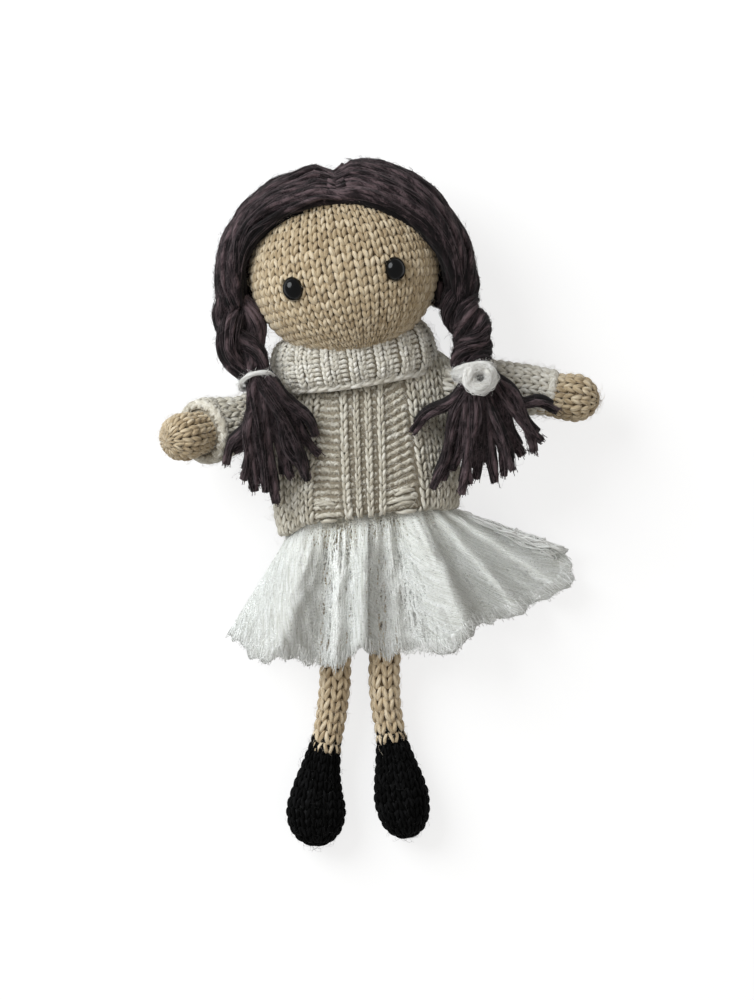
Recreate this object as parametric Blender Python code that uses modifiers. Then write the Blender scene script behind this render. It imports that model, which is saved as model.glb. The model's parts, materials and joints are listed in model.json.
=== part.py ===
"""A knitted doll with a wire frame inside, lying on its back.

Metres. +Z comes out of the doll's front, +Y points to its head and +X to its left hand. Z is zero on the
surface that it lies on. Left and right are the doll's own.
"""
from math import cos, pi, radians, sin, sqrt, tan

import bmesh
import bpy
from mathutils import Matrix, Vector

# Fits
GAP = 0.0003             # between pieces that touch
LAYER_GAP = 0.0008       # between the body's layers, measured level, because their sides slope
REST_CUT = 0.0005        # depth of the flats that the doll lies on
OVERRUN = 0.004          # how far a cutter runs past what it cuts
WORK_SPAN = 0.3          # side of the large cutting blocks

# Body under the jumper, and the jumper round it
SLANT = radians(9)       # hem, shoulders and collar rise towards the left arm
WAIST_X = -0.0030
NECK_X = -0.0062
TORSO_BOTTOM_Y = -0.0144
TORSO_LENGTH = 0.0589    # from the bottom of the body to the jumper's neck
TORSO_HALF_WIDTH = 0.0324
TORSO_HALF_DEPTH = 0.0165
JUMPER_WALL = 0.0036
BODY_KNIT_WALL = 0.0018
HEM_SHARE = 0.135        # the jumper starts here, of the torso's length
TORSO_SHARES = (         # height, width, depth, slant
    (0.00, 0.62, 0.56, 1.0),
    (0.04, 0.85, 0.80, 1.0),
    (0.09, 0.95, 0.92, 1.0),
    (0.25, 1.00, 1.00, 1.0),
    (0.50, 1.00, 1.00, 1.0),
    (0.70, 0.99, 0.97, 1.0),
    (0.82, 0.97, 0.92, 1.15),
    (0.90, 0.94, 0.86, 1.35),
    (0.96, 0.88, 0.77, 1.6),
    (1.00, 0.74, 0.62, 1.8),
)
TORSO_SIDES = 24
TURN_SHARES = tuple(i / TORSO_SIDES for i in range(TORSO_SIDES))

# Roll collar
COLLAR_X = -0.0093
COLLAR_RISE = 0.0040     # middle of the collar above the jumper's neck
COLLAR_Z = 0.0192
COLLAR_HALF_WIDTH = 0.0277
COLLAR_HALF_DEPTH = 0.0185
COLLAR_HEIGHT = 0.0170
COLLAR_THICKNESS = 0.0085
COLLAR_SEGMENTS = 32
COLLAR_SIDES = 10

# Head
NECK_BEND_X = -0.0074
NECK_BEND_RISE = 0.0124  # bend in the neck above the jumper's neck
NECK_BEND_INSET = 0.0065 # bend in the neck above the bottom of the head
HEAD_TILT = radians(11)
HEAD_HALF_WIDTH = 0.0330
HEAD_HALF_HEIGHT = 0.0310
HEAD_HALF_DEPTH = 0.0245
HEAD_KNIT_WALL = 0.0018
HEAD_SEGMENTS = 26
HEAD_RINGS = 14
NECK_OPENING_RADIUS = 0.0060
NECK_ROOM_RADIUS = 0.0045
NECK_WIRE_LENGTH = 0.0230

# Eyes
EYE_SPACING = 0.0358
EYE_MIDDLE_X = -0.0006
EYE_DROP = 0.0040        # below the middle of the head
EYE_HALF_WIDTH = 0.0037
EYE_HALF_HEIGHT = 0.0042
EYE_HEIGHT = 0.0034      # how far the bead stands out of the knit
EYE_SHANK_RADIUS = 0.0009
EYE_SHANK_LENGTH = 0.0060
EYE_THREAD_RADIUS = 0.0005

# Hair
HAIR_HALF_WIDTH = 0.0455
HAIR_HALF_HEIGHT = 0.0395
HAIR_HALF_DEPTH = 0.0285
HAIRLINE_HALF_WIDTH = 0.0335
HAIRLINE_HEIGHT = 0.0243
HAIR_FRONT_Z = -0.0020   # the face is open in front of this, from the middle of the head
SIDE_HAIR_DROP = 0.0105  # below the middle of the head, where the plaits start
SIDE_HAIR_Z = -0.0090    # the hair ends at that drop in front of this, from the middle of the head
NAPE_DROP = 0.0175       # the hair behind ends here
PARTING_STITCH_RADIUS = 0.0008

# Plaits, each from its root ball down to its tie, then the tassel. Points are at real places; radii follow.
PLAIT_ROOT_OFFSET = {     # from the middle of the head, level with the back
    "left": (0.0401, -0.0120, 0.0300), "right": (-0.0384, -0.0110, 0.0305),
}
PLAIT_ROOT_RADIUS = {"left": 0.0072, "right": 0.0066}
PLAIT_TIE_OFFSET = {"left": (0.0070, -0.0248, 0.0052), "right": (0.0080, -0.0275, 0.0047)}   # from its root
PLAIT_RADIUS = {"left": 0.0082, "right": 0.0098}
PLAIT_SIDEWAYS = {"left": -0.0020, "right": 0.0015}
PLAIT_LOBES = {"left": 3, "right": 2}
LOBE_DEPTH_SHARE = 0.08
PLAIT_STATIONS = 12
PLAIT_TAPER_SHARES = (0.45, 0.90)   # the plait narrows to its tie between these shares of its length
TIE_NECK_RADIUS = {"left": 0.0056, "right": 0.0058}
TIE_YARN_RADIUS = {"left": 0.0011, "right": 0.0008}
TIE_LOOP_RADIUS = 0.0038
TIE_LOOP_YARN_RADIUS = 0.0020
TIE_SEGMENTS = 20
TIE_SIDES = 8
TASSEL_REACH = {"left": (0.0, -0.0392, 0.0), "right": (0.0036, -0.0381, 0.0)}   # from its tie
TASSEL_HALF_WIDTH = {"left": 0.0220, "right": 0.0160}
TASSEL_HALF_THICKNESS = 0.0052
TASSEL_SHARES = {        # distance along the tassel, half width
    "left": ((0.0, 0.25), (0.06, 0.25), (0.2, 0.55), (0.45, 0.93), (0.65, 1.0), (0.85, 0.75), (1.0, 0.35)),
    "right": ((0.0, 0.36), (0.05, 0.36), (0.25, 0.66), (0.5, 0.95), (0.7, 1.0), (0.88, 0.78), (1.0, 0.40)),
}

# Arms
SHOULDER_X = {"left": 0.0286, "right": -0.0376}
SHOULDER_DROP = {"left": 0.0035, "right": 0.0146}   # below the jumper's neck
SHOULDER_Z = 0.0168
UPPER_ARM_LENGTH = {"left": 0.0232, "right": 0.0216}
FOREARM_LENGTH = {"left": 0.0254, "right": 0.0222}
ARM_DROOP = {"left": radians(6.6), "right": radians(13)}      # below level, in the plane of the body
UPPER_ARM_RISE = {"left": 0.0, "right": radians(12)}           # out of that plane, towards the front
FOREARM_RISE = {"left": radians(2), "right": radians(42)}
ARM_RADIUS = 0.0062
WRIST_RADIUS = 0.0063
HAND_RADIUS = 0.0081
WRIST_SHARE = 0.36       # place of the wrist along the forearm
SLEEVE_WALL = 0.0018
SLEEVE_LENGTH = {"left": 0.0342, "right": 0.0270}
SLEEVE_TUCK = 0.0018     # how far the sleeve reaches into the armhole
CUFF_RADIUS = {"left": 0.0088, "right": 0.0110}
ARMHOLE_SLACK = 0.0006

# Legs
HIP_X = {"left": 0.0020, "right": -0.0143}
HIP_Z = 0.0130
KNEE = {"left": (0.0023, -0.0520, 0.0108), "right": (-0.0152, -0.0520, 0.0108)}
ANKLE = {"left": (0.0042, -0.0815, 0.0080), "right": (-0.0183, -0.0850, 0.0080)}
TOE = {"left": (0.0105, -0.1180, 0.0080), "right": (-0.0220, -0.1208, 0.0080)}
THIGH_RADIUS = 0.0063
KNEE_RADIUS = 0.0050
SHIN_RADIUS = 0.0049
ANKLE_RADIUS = 0.0047
SHOE_HALF_WIDTH = {"left": 0.0093, "right": 0.0102}
SHOE_DEPTH_SHARE = {"left": 0.92, "right": 0.84}
SHOE_SHARES = ((0.12, 0.56), (0.30, 0.74), (0.48, 0.92), (0.64, 1.0))   # distance along, half width
SHOE_TOE_SHARE = 0.70    # the round toe starts here

# Wire
WIRE_RADIUS = 0.0010
BEND_RADIUS = 0.0018     # wrapped length of wire where it bends two ways
BEND_CLEARANCE = 0.0003
WIRE_TIP_INSET = 0.0050  # from the end of the wire to the tip of the hand or foot
SPINE_Z = 0.0200
HIP_WIRE_RISE = 0.0080   # height of the hip wire's bridge above the body's bottom
HIP_WIRE_CORNER = 0.0020

# Skirt
SKIRT_THICKNESS = 0.0010
TUCK_SHARE = 0.215       # top of the skirt under the jumper, of the torso's length
GATHER_THREAD_RADIUS = 0.0005
SKIRT_X = 0.0065
SKIRT_Y = -0.0315
SKIRT_HALF_WIDTH = 0.0600
SKIRT_SLANT = radians(13.6)
SKIRT_MIDDLE_DROP = 0.0215
SKIRT_BACK_Z = 0.0022
SKIRT_FRONT_Z = 0.0225
SKIRT_PUFF = 0.0025
SKIRT_FOLD_DEPTH = 0.0030
SKIRT_FOLD_SHARES = (    # way round the waist, hem across, hem's drop, hem's height, fold out or in
    (0.000, 0.986, -0.03, 0.36, 0.5), (0.042, 1.040, 0.37, 0.14, -0.3), (0.064, 0.963, 0.64, 0.53, 0.7),
    (0.084, 0.863, 0.77, 0.24, -0.8), (0.103, 0.723, 0.84, 0.73, 0.8), (0.125, 0.519, 0.90, 0.40, -1.0),
    (0.146, 0.403, 1.08, 0.95, 0.2), (0.168, 0.292, 1.12, 1.25, 1.0), (0.184, 0.193, 1.23, 0.95, 0.4),
    (0.197, 0.099, 1.12, 0.62, -1.0), (0.212, 0.006, 1.09, 0.92, 0.3), (0.230, -0.076, 1.00, 0.80, -0.7),
    (0.259, -0.204, 0.85, 1.15, 1.0), (0.286, -0.280, 0.88, 0.80, -0.5), (0.306, -0.368, 1.05, 0.98, 0.5),
    (0.332, -0.461, 0.92, 0.80, -1.0), (0.356, -0.566, 0.72, 1.05, 0.4), (0.386, -0.706, 0.66, 1.30, 1.0),
    (0.420, -0.858, 0.47, 1.10, 0.7), (0.446, -0.963, 0.17, 0.55, 0.2), (0.467, -0.986, 0.00, 0.20, 0.0),
    (0.520, -0.893, 0.19, 0.00, 0.0), (0.560, -0.741, 0.45, 0.25, 0.0), (0.600, -0.566, 0.65, 0.00, 0.0),
    (0.650, -0.390, 0.77, 0.00, 0.0), (0.700, -0.204, 0.78, 0.10, 0.0), (0.745, -0.012, 0.94, 0.00, 0.0),
    (0.790, 0.193, 1.00, 0.25, 0.0), (0.840, 0.397, 0.86, 0.00, 0.0), (0.885, 0.600, 0.71, 0.25, 0.0),
    (0.930, 0.805, 0.55, 0.00, 0.0), (0.970, 0.951, 0.29, 0.10, 0.0),
)
COLUMNS_PER_FOLD = 3
SKIRT_ROWS = 6

# Counts for round pieces
BALL_ANGLES = tuple(radians(a) for a in (18, 42, 66, 90))
LIMB_RESOLUTION = 3
WIRE_RESOLUTION = 2
BALL_SEGMENTS = 20
BALL_RINGS = 12
SMALL_SEGMENTS = 10
SMALL_RINGS = 6
ARCH_STEPS = 20

SIDES = {"left": 1, "right": -1}

SIDE_VIEW = Matrix(((0, 0, 1), (1, 0, 0), (0, 1, 0))).to_4x4()   # outlines of Y and Z, run along X

HEAD_Z = HAIR_HALF_DEPTH - REST_CUT
TORSO_Z = TORSO_HALF_DEPTH - REST_CUT
TORSO_TOP_Y = TORSO_BOTTOM_Y + TORSO_LENGTH
SHOULDER = {side: (SHOULDER_X[side], TORSO_TOP_Y - SHOULDER_DROP[side], SHOULDER_Z) for side in SIDES}

HEAD_UP = Vector((-sin(HEAD_TILT), cos(HEAD_TILT), 0))
NECK = Vector((NECK_BEND_X, TORSO_TOP_Y + NECK_BEND_RISE, SPINE_Z))
HEAD_MIDDLE = NECK + HEAD_UP * (HEAD_HALF_HEIGHT - NECK_BEND_INSET)
HEAD_PLACE = Vector((HEAD_MIDDLE.x, HEAD_MIDDLE.y, HEAD_Z))
HEAD_FRAME = Matrix.Translation(HEAD_PLACE) @ Matrix.Rotation(HEAD_TILT, 4, "Z")
HEAD_SIZES = (HEAD_HALF_WIDTH, HEAD_HALF_HEIGHT, HEAD_HALF_DEPTH)


def plait_root(side):
    x, y, z = PLAIT_ROOT_OFFSET[side]
    return Vector((HEAD_PLACE.x + x, HEAD_PLACE.y + y, z))


PLAIT_ROOT = {side: plait_root(side) for side in SIDES}
PLAIT_TIE = {side: PLAIT_ROOT[side] + Vector(PLAIT_TIE_OFFSET[side]) for side in SIDES}


def hip_place(side):
    """The legs hang just below the body's slanting bottom."""
    bottom_y = TORSO_BOTTOM_Y + (HIP_X[side] - WAIST_X) * tan(SLANT)
    return HIP_X[side], bottom_y - (THIGH_RADIUS + GAP) / cos(SLANT), HIP_Z


HIP = {side: hip_place(side) for side in SIDES}

COLOURS = {              # colour, roughness, metallic
    "tan": ((0.58, 0.46, 0.30), 0.9, 0.0),
    "cream": ((0.70, 0.66, 0.58), 0.95, 0.0),
    "filling": ((0.88, 0.87, 0.84), 1.0, 0.0),
    "hair": ((0.055, 0.030, 0.035), 0.9, 0.0),
    "black_knit": ((0.012, 0.012, 0.013), 0.9, 0.0),
    "bead": ((0.008, 0.008, 0.010), 0.12, 0.0),
    "thread": ((0.02, 0.02, 0.02), 0.7, 0.0),
    "white_yarn": ((0.85, 0.84, 0.80), 0.9, 0.0),
    "gauze": ((0.86, 0.86, 0.80), 0.95, 0.0),
    "wire": ((0.45, 0.45, 0.46), 0.35, 1.0),
}


# Scene and materials

def clear_scene():
    for thing in list(bpy.context.scene.objects):
        bpy.data.objects.remove(thing)


def new_collection(name):
    collection = bpy.data.collections.new(name)
    bpy.context.scene.collection.children.link(collection)
    return collection


def new_material(name, kind):
    colour, roughness, metallic = COLOURS[kind]
    material = bpy.data.materials.new(name)
    material.use_nodes = True
    shader = material.node_tree.nodes["Principled BSDF"]
    shader.inputs["Base Color"].default_value = (*colour, 1.0)
    shader.inputs["Roughness"].default_value = roughness
    shader.inputs["Metallic"].default_value = metallic
    material.diffuse_color = (*colour, 1.0)
    return material


clear_scene()
DOLL = new_collection("bendy_doll")
CUTTERS = new_collection("cutters")


# Shapes

def new_object(name, mesh, kind=None):
    """A part of the doll where it has a kind of material, or a cutter where it has none."""
    thing = bpy.data.objects.new(name, mesh)
    if kind:
        DOLL.objects.link(thing)
        mesh.materials.append(new_material(name, kind))
        mesh.shade_smooth()
    else:
        CUTTERS.objects.link(thing)
        thing.hide_render = True
        thing.display_type = "WIRE"
    return thing


def mesh_of(name, shape):
    mesh = bpy.data.meshes.new(name)
    shape.to_mesh(mesh)
    shape.free()
    return mesh


def ball(name, frame, half_sizes, kind=None, segments=BALL_SEGMENTS, rings=BALL_RINGS):
    """An ellipsoid with its half sizes along the frame's axes."""
    shape = bmesh.new()
    bmesh.ops.create_uvsphere(shape, u_segments=segments, v_segments=rings, radius=1)
    shape.transform(frame @ Matrix.Diagonal((*half_sizes, 1)))
    return new_object(name, mesh_of(name, shape), kind)


def block(name, frame, low, high):
    """A cutting block between two corners in the frame."""
    low, high = Vector(low), Vector(high)
    shape = bmesh.new()
    bmesh.ops.create_cube(shape, size=1)
    middle = Matrix.Translation((low + high) / 2)
    shape.transform(frame @ middle @ Matrix.Diagonal((*(high - low), 1)))
    return new_object(name, mesh_of(name, shape))


def mesh_from_curve(name, curve):
    """The curve's mesh with its caps welded on. The curve itself is removed."""
    thing = bpy.data.objects.new(name, curve)
    bpy.context.scene.collection.objects.link(thing)
    bpy.context.view_layer.update()
    evaluated = thing.evaluated_get(bpy.context.evaluated_depsgraph_get())
    mesh = bpy.data.meshes.new_from_object(evaluated)
    mesh.name = name
    bpy.data.objects.remove(thing)
    bpy.data.curves.remove(curve)
    shape = bmesh.new()
    shape.from_mesh(mesh)
    bmesh.ops.remove_doubles(shape, verts=shape.verts, dist=GAP / 100)
    bmesh.ops.recalc_face_normals(shape, faces=shape.faces)
    shape.to_mesh(mesh)
    shape.free()
    mesh.materials.clear()
    return mesh


def tube(name, points, radii, kind=None, resolution=LIMB_RESOLUTION):
    """A round tube through the points, with its own radius at each."""
    curve = bpy.data.curves.new(name, "CURVE")
    curve.dimensions = "3D"
    curve.bevel_depth = max(radii)
    curve.bevel_resolution = resolution
    curve.use_fill_caps = True
    spline = curve.splines.new("POLY")
    spline.points.add(len(points) - 1)
    for place, point, radius in zip(spline.points, points, radii):
        place.co = (*point, 1)
        place.radius = radius / max(radii)
    return new_object(name, mesh_from_curve(name, curve), kind)


def wire(name, points, kind=None, radius=WIRE_RADIUS):
    return tube(name, points, [radius] * len(points), kind, WIRE_RESOLUTION)


def bore(name, points, radius=WIRE_RADIUS + GAP):
    """A round cutter along a wire, with the wire's running gap."""
    return wire(name, points, None, radius)


def flat_outline(name, points, frame, low, high):
    """A cutter with this outline, from one depth to another along the frame's Z."""
    curve = bpy.data.curves.new(name, "CURVE")
    curve.dimensions = "2D"
    curve.fill_mode = "BOTH"
    curve.extrude = (high - low) / 2
    spline = curve.splines.new("POLY")
    spline.points.add(len(points) - 1)
    for place, point in zip(spline.points, points):
        place.co = (*point, 0, 1)
    spline.use_cyclic_u = True
    mesh = mesh_from_curve(name, curve)
    mesh.transform(frame @ Matrix.Translation((0, 0, (low + high) / 2)))
    return new_object(name, mesh)


def torus(name, frame, major, minor, kind=None, segments=TIE_SEGMENTS, sides=TIE_SIDES):
    """A ring round the frame's Z axis."""
    bpy.ops.mesh.primitive_torus_add(
        major_segments=segments, minor_segments=sides, major_radius=major, minor_radius=minor
    )
    made = bpy.context.active_object
    mesh = made.data
    mesh.name = name
    bpy.data.objects.remove(made)
    mesh.transform(frame)
    return new_object(name, mesh, kind)


def loft(name, rings, kind=None):
    """A closed solid through rings of points, for sections that no turned or extruded shape makes.

    Its sides are triangles that all slope one way, so that one form inside another keeps its distance.
    """
    shape = bmesh.new()
    loops = [[shape.verts.new(point) for point in ring] for ring in rings]
    for lower, upper in zip(loops, loops[1:]):
        for i in range(len(lower)):
            j = (i + 1) % len(lower)
            shape.faces.new((lower[i], lower[j], upper[j]))
            shape.faces.new((lower[i], upper[j], upper[i]))
    shape.faces.new(loops[0])
    shape.faces.new(loops[-1])
    bmesh.ops.recalc_face_normals(shape, faces=shape.faces)
    return new_object(name, mesh_of(name, shape), kind)


def combine(thing, other, operation):
    modifier = thing.modifiers.new(operation.lower() + "_" + other.name, "BOOLEAN")
    modifier.operation = operation
    modifier.object = other
    modifier.solver = "EXACT"


def cut(thing, *others):
    for other in others:
        combine(thing, other, "DIFFERENCE")


def along(start, end, distance):
    start, end = Vector(start), Vector(end)
    return start + (end - start).normalized() * distance


def mix(a, b, share):
    return a + (b - a) * share


def read_shares(table, share):
    """The values of a table of shares at one place, straight between its rows and past its end."""
    rows = list(zip(table, table[1:]))
    for low, high in rows:
        if share <= high[0] or high is table[-1]:
            part = (share - low[0]) / (high[0] - low[0])
            return [mix(a, b, part) for a, b in zip(low[1:], high[1:])]


def frame_along(start, end):
    """A frame at the start whose Z axis points to the end."""
    direction = Vector(end) - Vector(start)
    return Matrix.Translation(Vector(start)) @ direction.to_track_quat("Z", "Y").to_matrix().to_4x4()


# Joints: each pivot is an empty, parented as the limbs are, and a moving piece has its origin on it

PIVOTS = {}


def pivot(name, position, parent=None):
    empty = bpy.data.objects.new(name, None)
    DOLL.objects.link(empty)
    home = Vector(position)
    if parent:
        empty.parent, base = PIVOTS[parent]
        empty.location = home - base
    else:
        empty.location = home
    PIVOTS[name] = (empty, home)


def hang(name, *things):
    """Parents the pieces to a pivot, with their origins on it."""
    empty, home = PIVOTS[name]
    for thing in things:
        thing.data.transform(Matrix.Translation(-home))
        thing.parent = empty


# Torso

def torso_ring(share, inset, turn_shares=TURN_SHARES, drop=0.0):
    """Points round the torso at one height, moved inwards, and down for a cutter."""
    width, depth, slant = read_shares(TORSO_SHARES, share)
    half_width = TORSO_HALF_WIDTH * width - inset
    half_depth = TORSO_HALF_DEPTH * depth - inset
    middle_x = mix(WAIST_X, NECK_X, share)
    middle_y = TORSO_BOTTOM_Y + TORSO_LENGTH * share - drop
    ring = []
    for turn in turn_shares:
        angle = 2 * pi * turn
        x = half_width * cos(angle)
        y = middle_y + x * tan(SLANT * slant)
        ring.append(Vector((middle_x + x, y, TORSO_Z + half_depth * sin(angle))))
    return ring


def torso_solid(name, inset, low, high, kind=None, open_low=False, open_high=False):
    """The torso's form between two heights, as shares of its length."""
    inner = [row[0] for row in TORSO_SHARES if low < row[0] < high]
    rings = [torso_ring(share, inset) for share in (low, *inner, high)]
    if open_low:
        rings[0] = torso_ring(low, inset, drop=OVERRUN)
    if open_high:
        rings[-1] = torso_ring(high + OVERRUN / TORSO_LENGTH, inset)
    return loft(name, rings, kind)


def make_torso(floor):
    skirt_room = SKIRT_THICKNESS + 2 * GAP
    knit_inset = JUMPER_WALL + LAYER_GAP
    filling_inset = knit_inset + BODY_KNIT_WALL
    wall_share = BODY_KNIT_WALL / TORSO_LENGTH
    gap_share = GAP / TORSO_LENGTH
    tuck_inset = JUMPER_WALL - skirt_room + GAP

    jumper = torso_solid("jumper_body", 0, HEM_SHARE, 1, "cream")
    cut(jumper, floor, torso_solid("jumper_hollow", JUMPER_WALL, HEM_SHARE, 1, None, True, True))
    thread_share = 2 * (GATHER_THREAD_RADIUS + GAP) / TORSO_LENGTH
    cut(jumper, torso_solid("skirt_tuck", tuck_inset, HEM_SHARE, TUCK_SHARE + thread_share, None, True))

    knit = torso_solid("body_knit", knit_inset, 0, 1, "cream")
    cut(knit, torso_solid("body_knit_hollow", filling_inset, wall_share, 1, None, False, True))

    filling = torso_solid("body_stuffing", filling_inset + LAYER_GAP, wall_share + gap_share, 1 - gap_share,
                          "filling")

    thread_inset = (tuck_inset + knit_inset - GAP) / 2
    thread_points = torso_ring(TUCK_SHARE + thread_share / 2 + gap_share / 2, thread_inset)
    thread = ring_tube("skirt_gather_thread", thread_points, GATHER_THREAD_RADIUS, "white_yarn")
    return jumper, knit, filling, thread


def ring_tube(name, points, radius, kind):
    """A closed round tube through a ring of points."""
    curve = bpy.data.curves.new(name, "CURVE")
    curve.dimensions = "3D"
    curve.bevel_depth = radius
    curve.bevel_resolution = 1
    spline = curve.splines.new("POLY")
    spline.points.add(len(points) - 1)
    for place, point in zip(spline.points, points):
        place.co = (*point, 1)
    spline.use_cyclic_u = True
    return new_object(name, mesh_from_curve(name, curve), kind)


def skirt_fold(column):
    """The skirt's shares at one column, smooth from row to row of the table and closed round."""
    first, step = divmod(column, COLUMNS_PER_FOLD)
    t = step / COLUMNS_PER_FOLD
    weights = (
        (-t ** 3 + 2 * t ** 2 - t) / 2, (3 * t ** 3 - 5 * t ** 2 + 2) / 2,
        (-3 * t ** 3 + 4 * t ** 2 + t) / 2, (t ** 3 - t ** 2) / 2,
    )
    total = Vector((0, 0, 0, 0, 0))
    for offset, weight in enumerate(weights, -1):
        lap, row = divmod(first + offset, len(SKIRT_FOLD_SHARES))
        total += Vector(SKIRT_FOLD_SHARES[row]) * weight
        total[0] += lap * weight
    return total


def make_skirt():
    """One gathered sheet: the waist follows the torso, the hem swings out into folds."""
    thickness_middle = JUMPER_WALL - SKIRT_THICKNESS / 2
    columns = len(SKIRT_FOLD_SHARES) * COLUMNS_PER_FOLD
    folds = [skirt_fold(i) for i in range(columns)]
    turn_shares = [fold[0] for fold in folds]
    waist_top = torso_ring(TUCK_SHARE, thickness_middle, turn_shares)
    waist_low = torso_ring(HEM_SHARE, thickness_middle, turn_shares)
    rows = [waist_top, waist_low]
    for row in range(1, SKIRT_ROWS + 1):
        share = row / SKIRT_ROWS
        swell = sqrt(max(sin(pi * share), 0))
        ring = []
        for start, (turn, across, drop, height, out) in zip(waist_low, folds):
            sideways = SKIRT_HALF_WIDTH * across
            hem = Vector((
                SKIRT_X + sideways,
                SKIRT_Y + sideways * tan(SKIRT_SLANT) - SKIRT_MIDDLE_DROP * drop,
                mix(SKIRT_BACK_Z, SKIRT_FRONT_Z, height),
            ))
            point = start.lerp(hem, share)
            point.z += (SKIRT_PUFF * height + SKIRT_FOLD_DEPTH * out) * swell
            ring.append(point)
        rows.append(ring)
    shape = bmesh.new()
    loops = [[shape.verts.new(point) for point in ring] for ring in rows]
    for upper, lower in zip(loops, loops[1:]):
        for i in range(columns):
            j = (i + 1) % columns
            shape.faces.new((upper[i], upper[j], lower[j], lower[i]))
    bmesh.ops.recalc_face_normals(shape, faces=shape.faces)
    skirt = new_object("skirt", mesh_of("skirt", shape), "gauze")
    solidify = skirt.modifiers.new("thickness", "SOLIDIFY")
    solidify.thickness = SKIRT_THICKNESS
    solidify.offset = 0
    return skirt


def make_collar():
    """The roll neck: a ring, flattened and drawn out to the collar's width, depth and height."""
    turn = Matrix.Rotation(SLANT, 4, "Z") @ Matrix.Rotation(-pi / 2, 4, "X")
    flattening = COLLAR_HALF_DEPTH / COLLAR_HALF_WIDTH
    drawn_out = Matrix.Diagonal((1, flattening, COLLAR_HEIGHT / COLLAR_THICKNESS, 1))
    frame = Matrix.Translation((COLLAR_X, TORSO_TOP_Y + COLLAR_RISE, COLLAR_Z)) @ turn @ drawn_out
    major = COLLAR_HALF_WIDTH - COLLAR_THICKNESS / 2
    return torus("roll_collar", frame, major, COLLAR_THICKNESS / 2, "cream", COLLAR_SEGMENTS, COLLAR_SIDES)


# Head

def head_ball(name, inset, kind=None):
    sizes = [size - inset for size in HEAD_SIZES]
    return ball(name, HEAD_FRAME, sizes, kind, HEAD_SEGMENTS, HEAD_RINGS)


def eye_place(side):
    """The eye's place on the knit and the direction straight out of it, in the head's frame."""
    x = EYE_MIDDLE_X + SIDES[side] * EYE_SPACING / 2
    y = -EYE_DROP
    z = HEAD_HALF_DEPTH * sqrt(1 - (x / HEAD_HALF_WIDTH) ** 2 - (y / HEAD_HALF_HEIGHT) ** 2)
    outward = Vector((x / HEAD_HALF_WIDTH ** 2, y / HEAD_HALF_HEIGHT ** 2, z / HEAD_HALF_DEPTH ** 2))
    return Vector((x, y, z)), outward.normalized()


def make_head():
    knit = head_ball("head_knit", 0, "tan")
    cut(knit, head_ball("head_knit_hollow", HEAD_KNIT_WALL))
    filling = head_ball("head_stuffing", HEAD_KNIT_WALL + GAP, "filling")
    opening_end = HEAD_MIDDLE - HEAD_UP * (HEAD_HALF_HEIGHT + OVERRUN)
    opening_start = HEAD_MIDDLE - HEAD_UP * (HEAD_HALF_HEIGHT - 2 * OVERRUN)
    cut(knit, tube("neck_opening", [opening_start, opening_end], [NECK_OPENING_RADIUS] * 2))

    wire_start = NECK + HEAD_UP * (BEND_RADIUS + GAP)
    wire_end = NECK + HEAD_UP * NECK_WIRE_LENGTH
    neck_wire = wire("neck_wire", [wire_start, wire_end], "wire")
    cut(filling, ball("neck_bend_room", Matrix.Translation(NECK), [NECK_ROOM_RADIUS] * 3))
    cut(filling, bore("neck_wire_bore", [NECK, wire_end + HEAD_UP * GAP]))
    neck_bend = ball("neck_wire_bend", Matrix.Translation(NECK), [BEND_RADIUS] * 3, "wire",
                     SMALL_SEGMENTS, SMALL_RINGS)

    eyes, shank_ends = [], []
    for side in SIDES:
        place, outward = eye_place(side)
        frame = HEAD_FRAME @ Matrix.Translation(place) @ outward.to_track_quat("Z", "Y").to_matrix().to_4x4()
        eye = ball(side + "_eye", frame, (EYE_HALF_WIDTH, EYE_HALF_HEIGHT, EYE_HEIGHT), "bead")
        cut(eye, head_ball(side + "_eye_seat", -GAP))
        tip = HEAD_FRAME @ (place - outward * EYE_SHANK_LENGTH)
        top = HEAD_FRAME @ (place + outward * EYE_HEIGHT / 2)
        combine(eye, bore(side + "_eye_shank", [top, tip], EYE_SHANK_RADIUS), "UNION")
        beyond = HEAD_FRAME @ (place - outward * (EYE_SHANK_LENGTH + EYE_THREAD_RADIUS + 2 * GAP))
        outside = HEAD_FRAME @ (place + outward * OVERRUN)
        hole = bore(side + "_shank_hole", [outside, beyond], EYE_SHANK_RADIUS + GAP)
        cut(knit, hole)
        cut(filling, hole)
        eyes.append(eye)
        shank_ends.append(HEAD_FRAME @ (place - outward * (EYE_SHANK_LENGTH + EYE_THREAD_RADIUS + GAP)))
    eye_thread = wire("eye_thread", shank_ends, "thread", EYE_THREAD_RADIUS)
    cut(filling, bore("eye_thread_bore", [along(*shank_ends, -GAP), along(*reversed(shank_ends), -GAP)],
                      EYE_THREAD_RADIUS + GAP))
    return knit, filling, neck_wire, neck_bend, eyes, eye_thread


def hairline():
    """The edge of the face: an arch over the forehead, then straight down past the nape."""
    arch = [
        (HAIRLINE_HALF_WIDTH * cos(pi * i / ARCH_STEPS), HAIRLINE_HEIGHT * sin(pi * i / ARCH_STEPS))
        for i in range(ARCH_STEPS + 1)
    ]
    bottom = -(HAIR_HALF_HEIGHT + OVERRUN)
    return [*arch, (-HAIRLINE_HALF_WIDTH, bottom), (HAIRLINE_HALF_WIDTH, bottom)]


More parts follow.
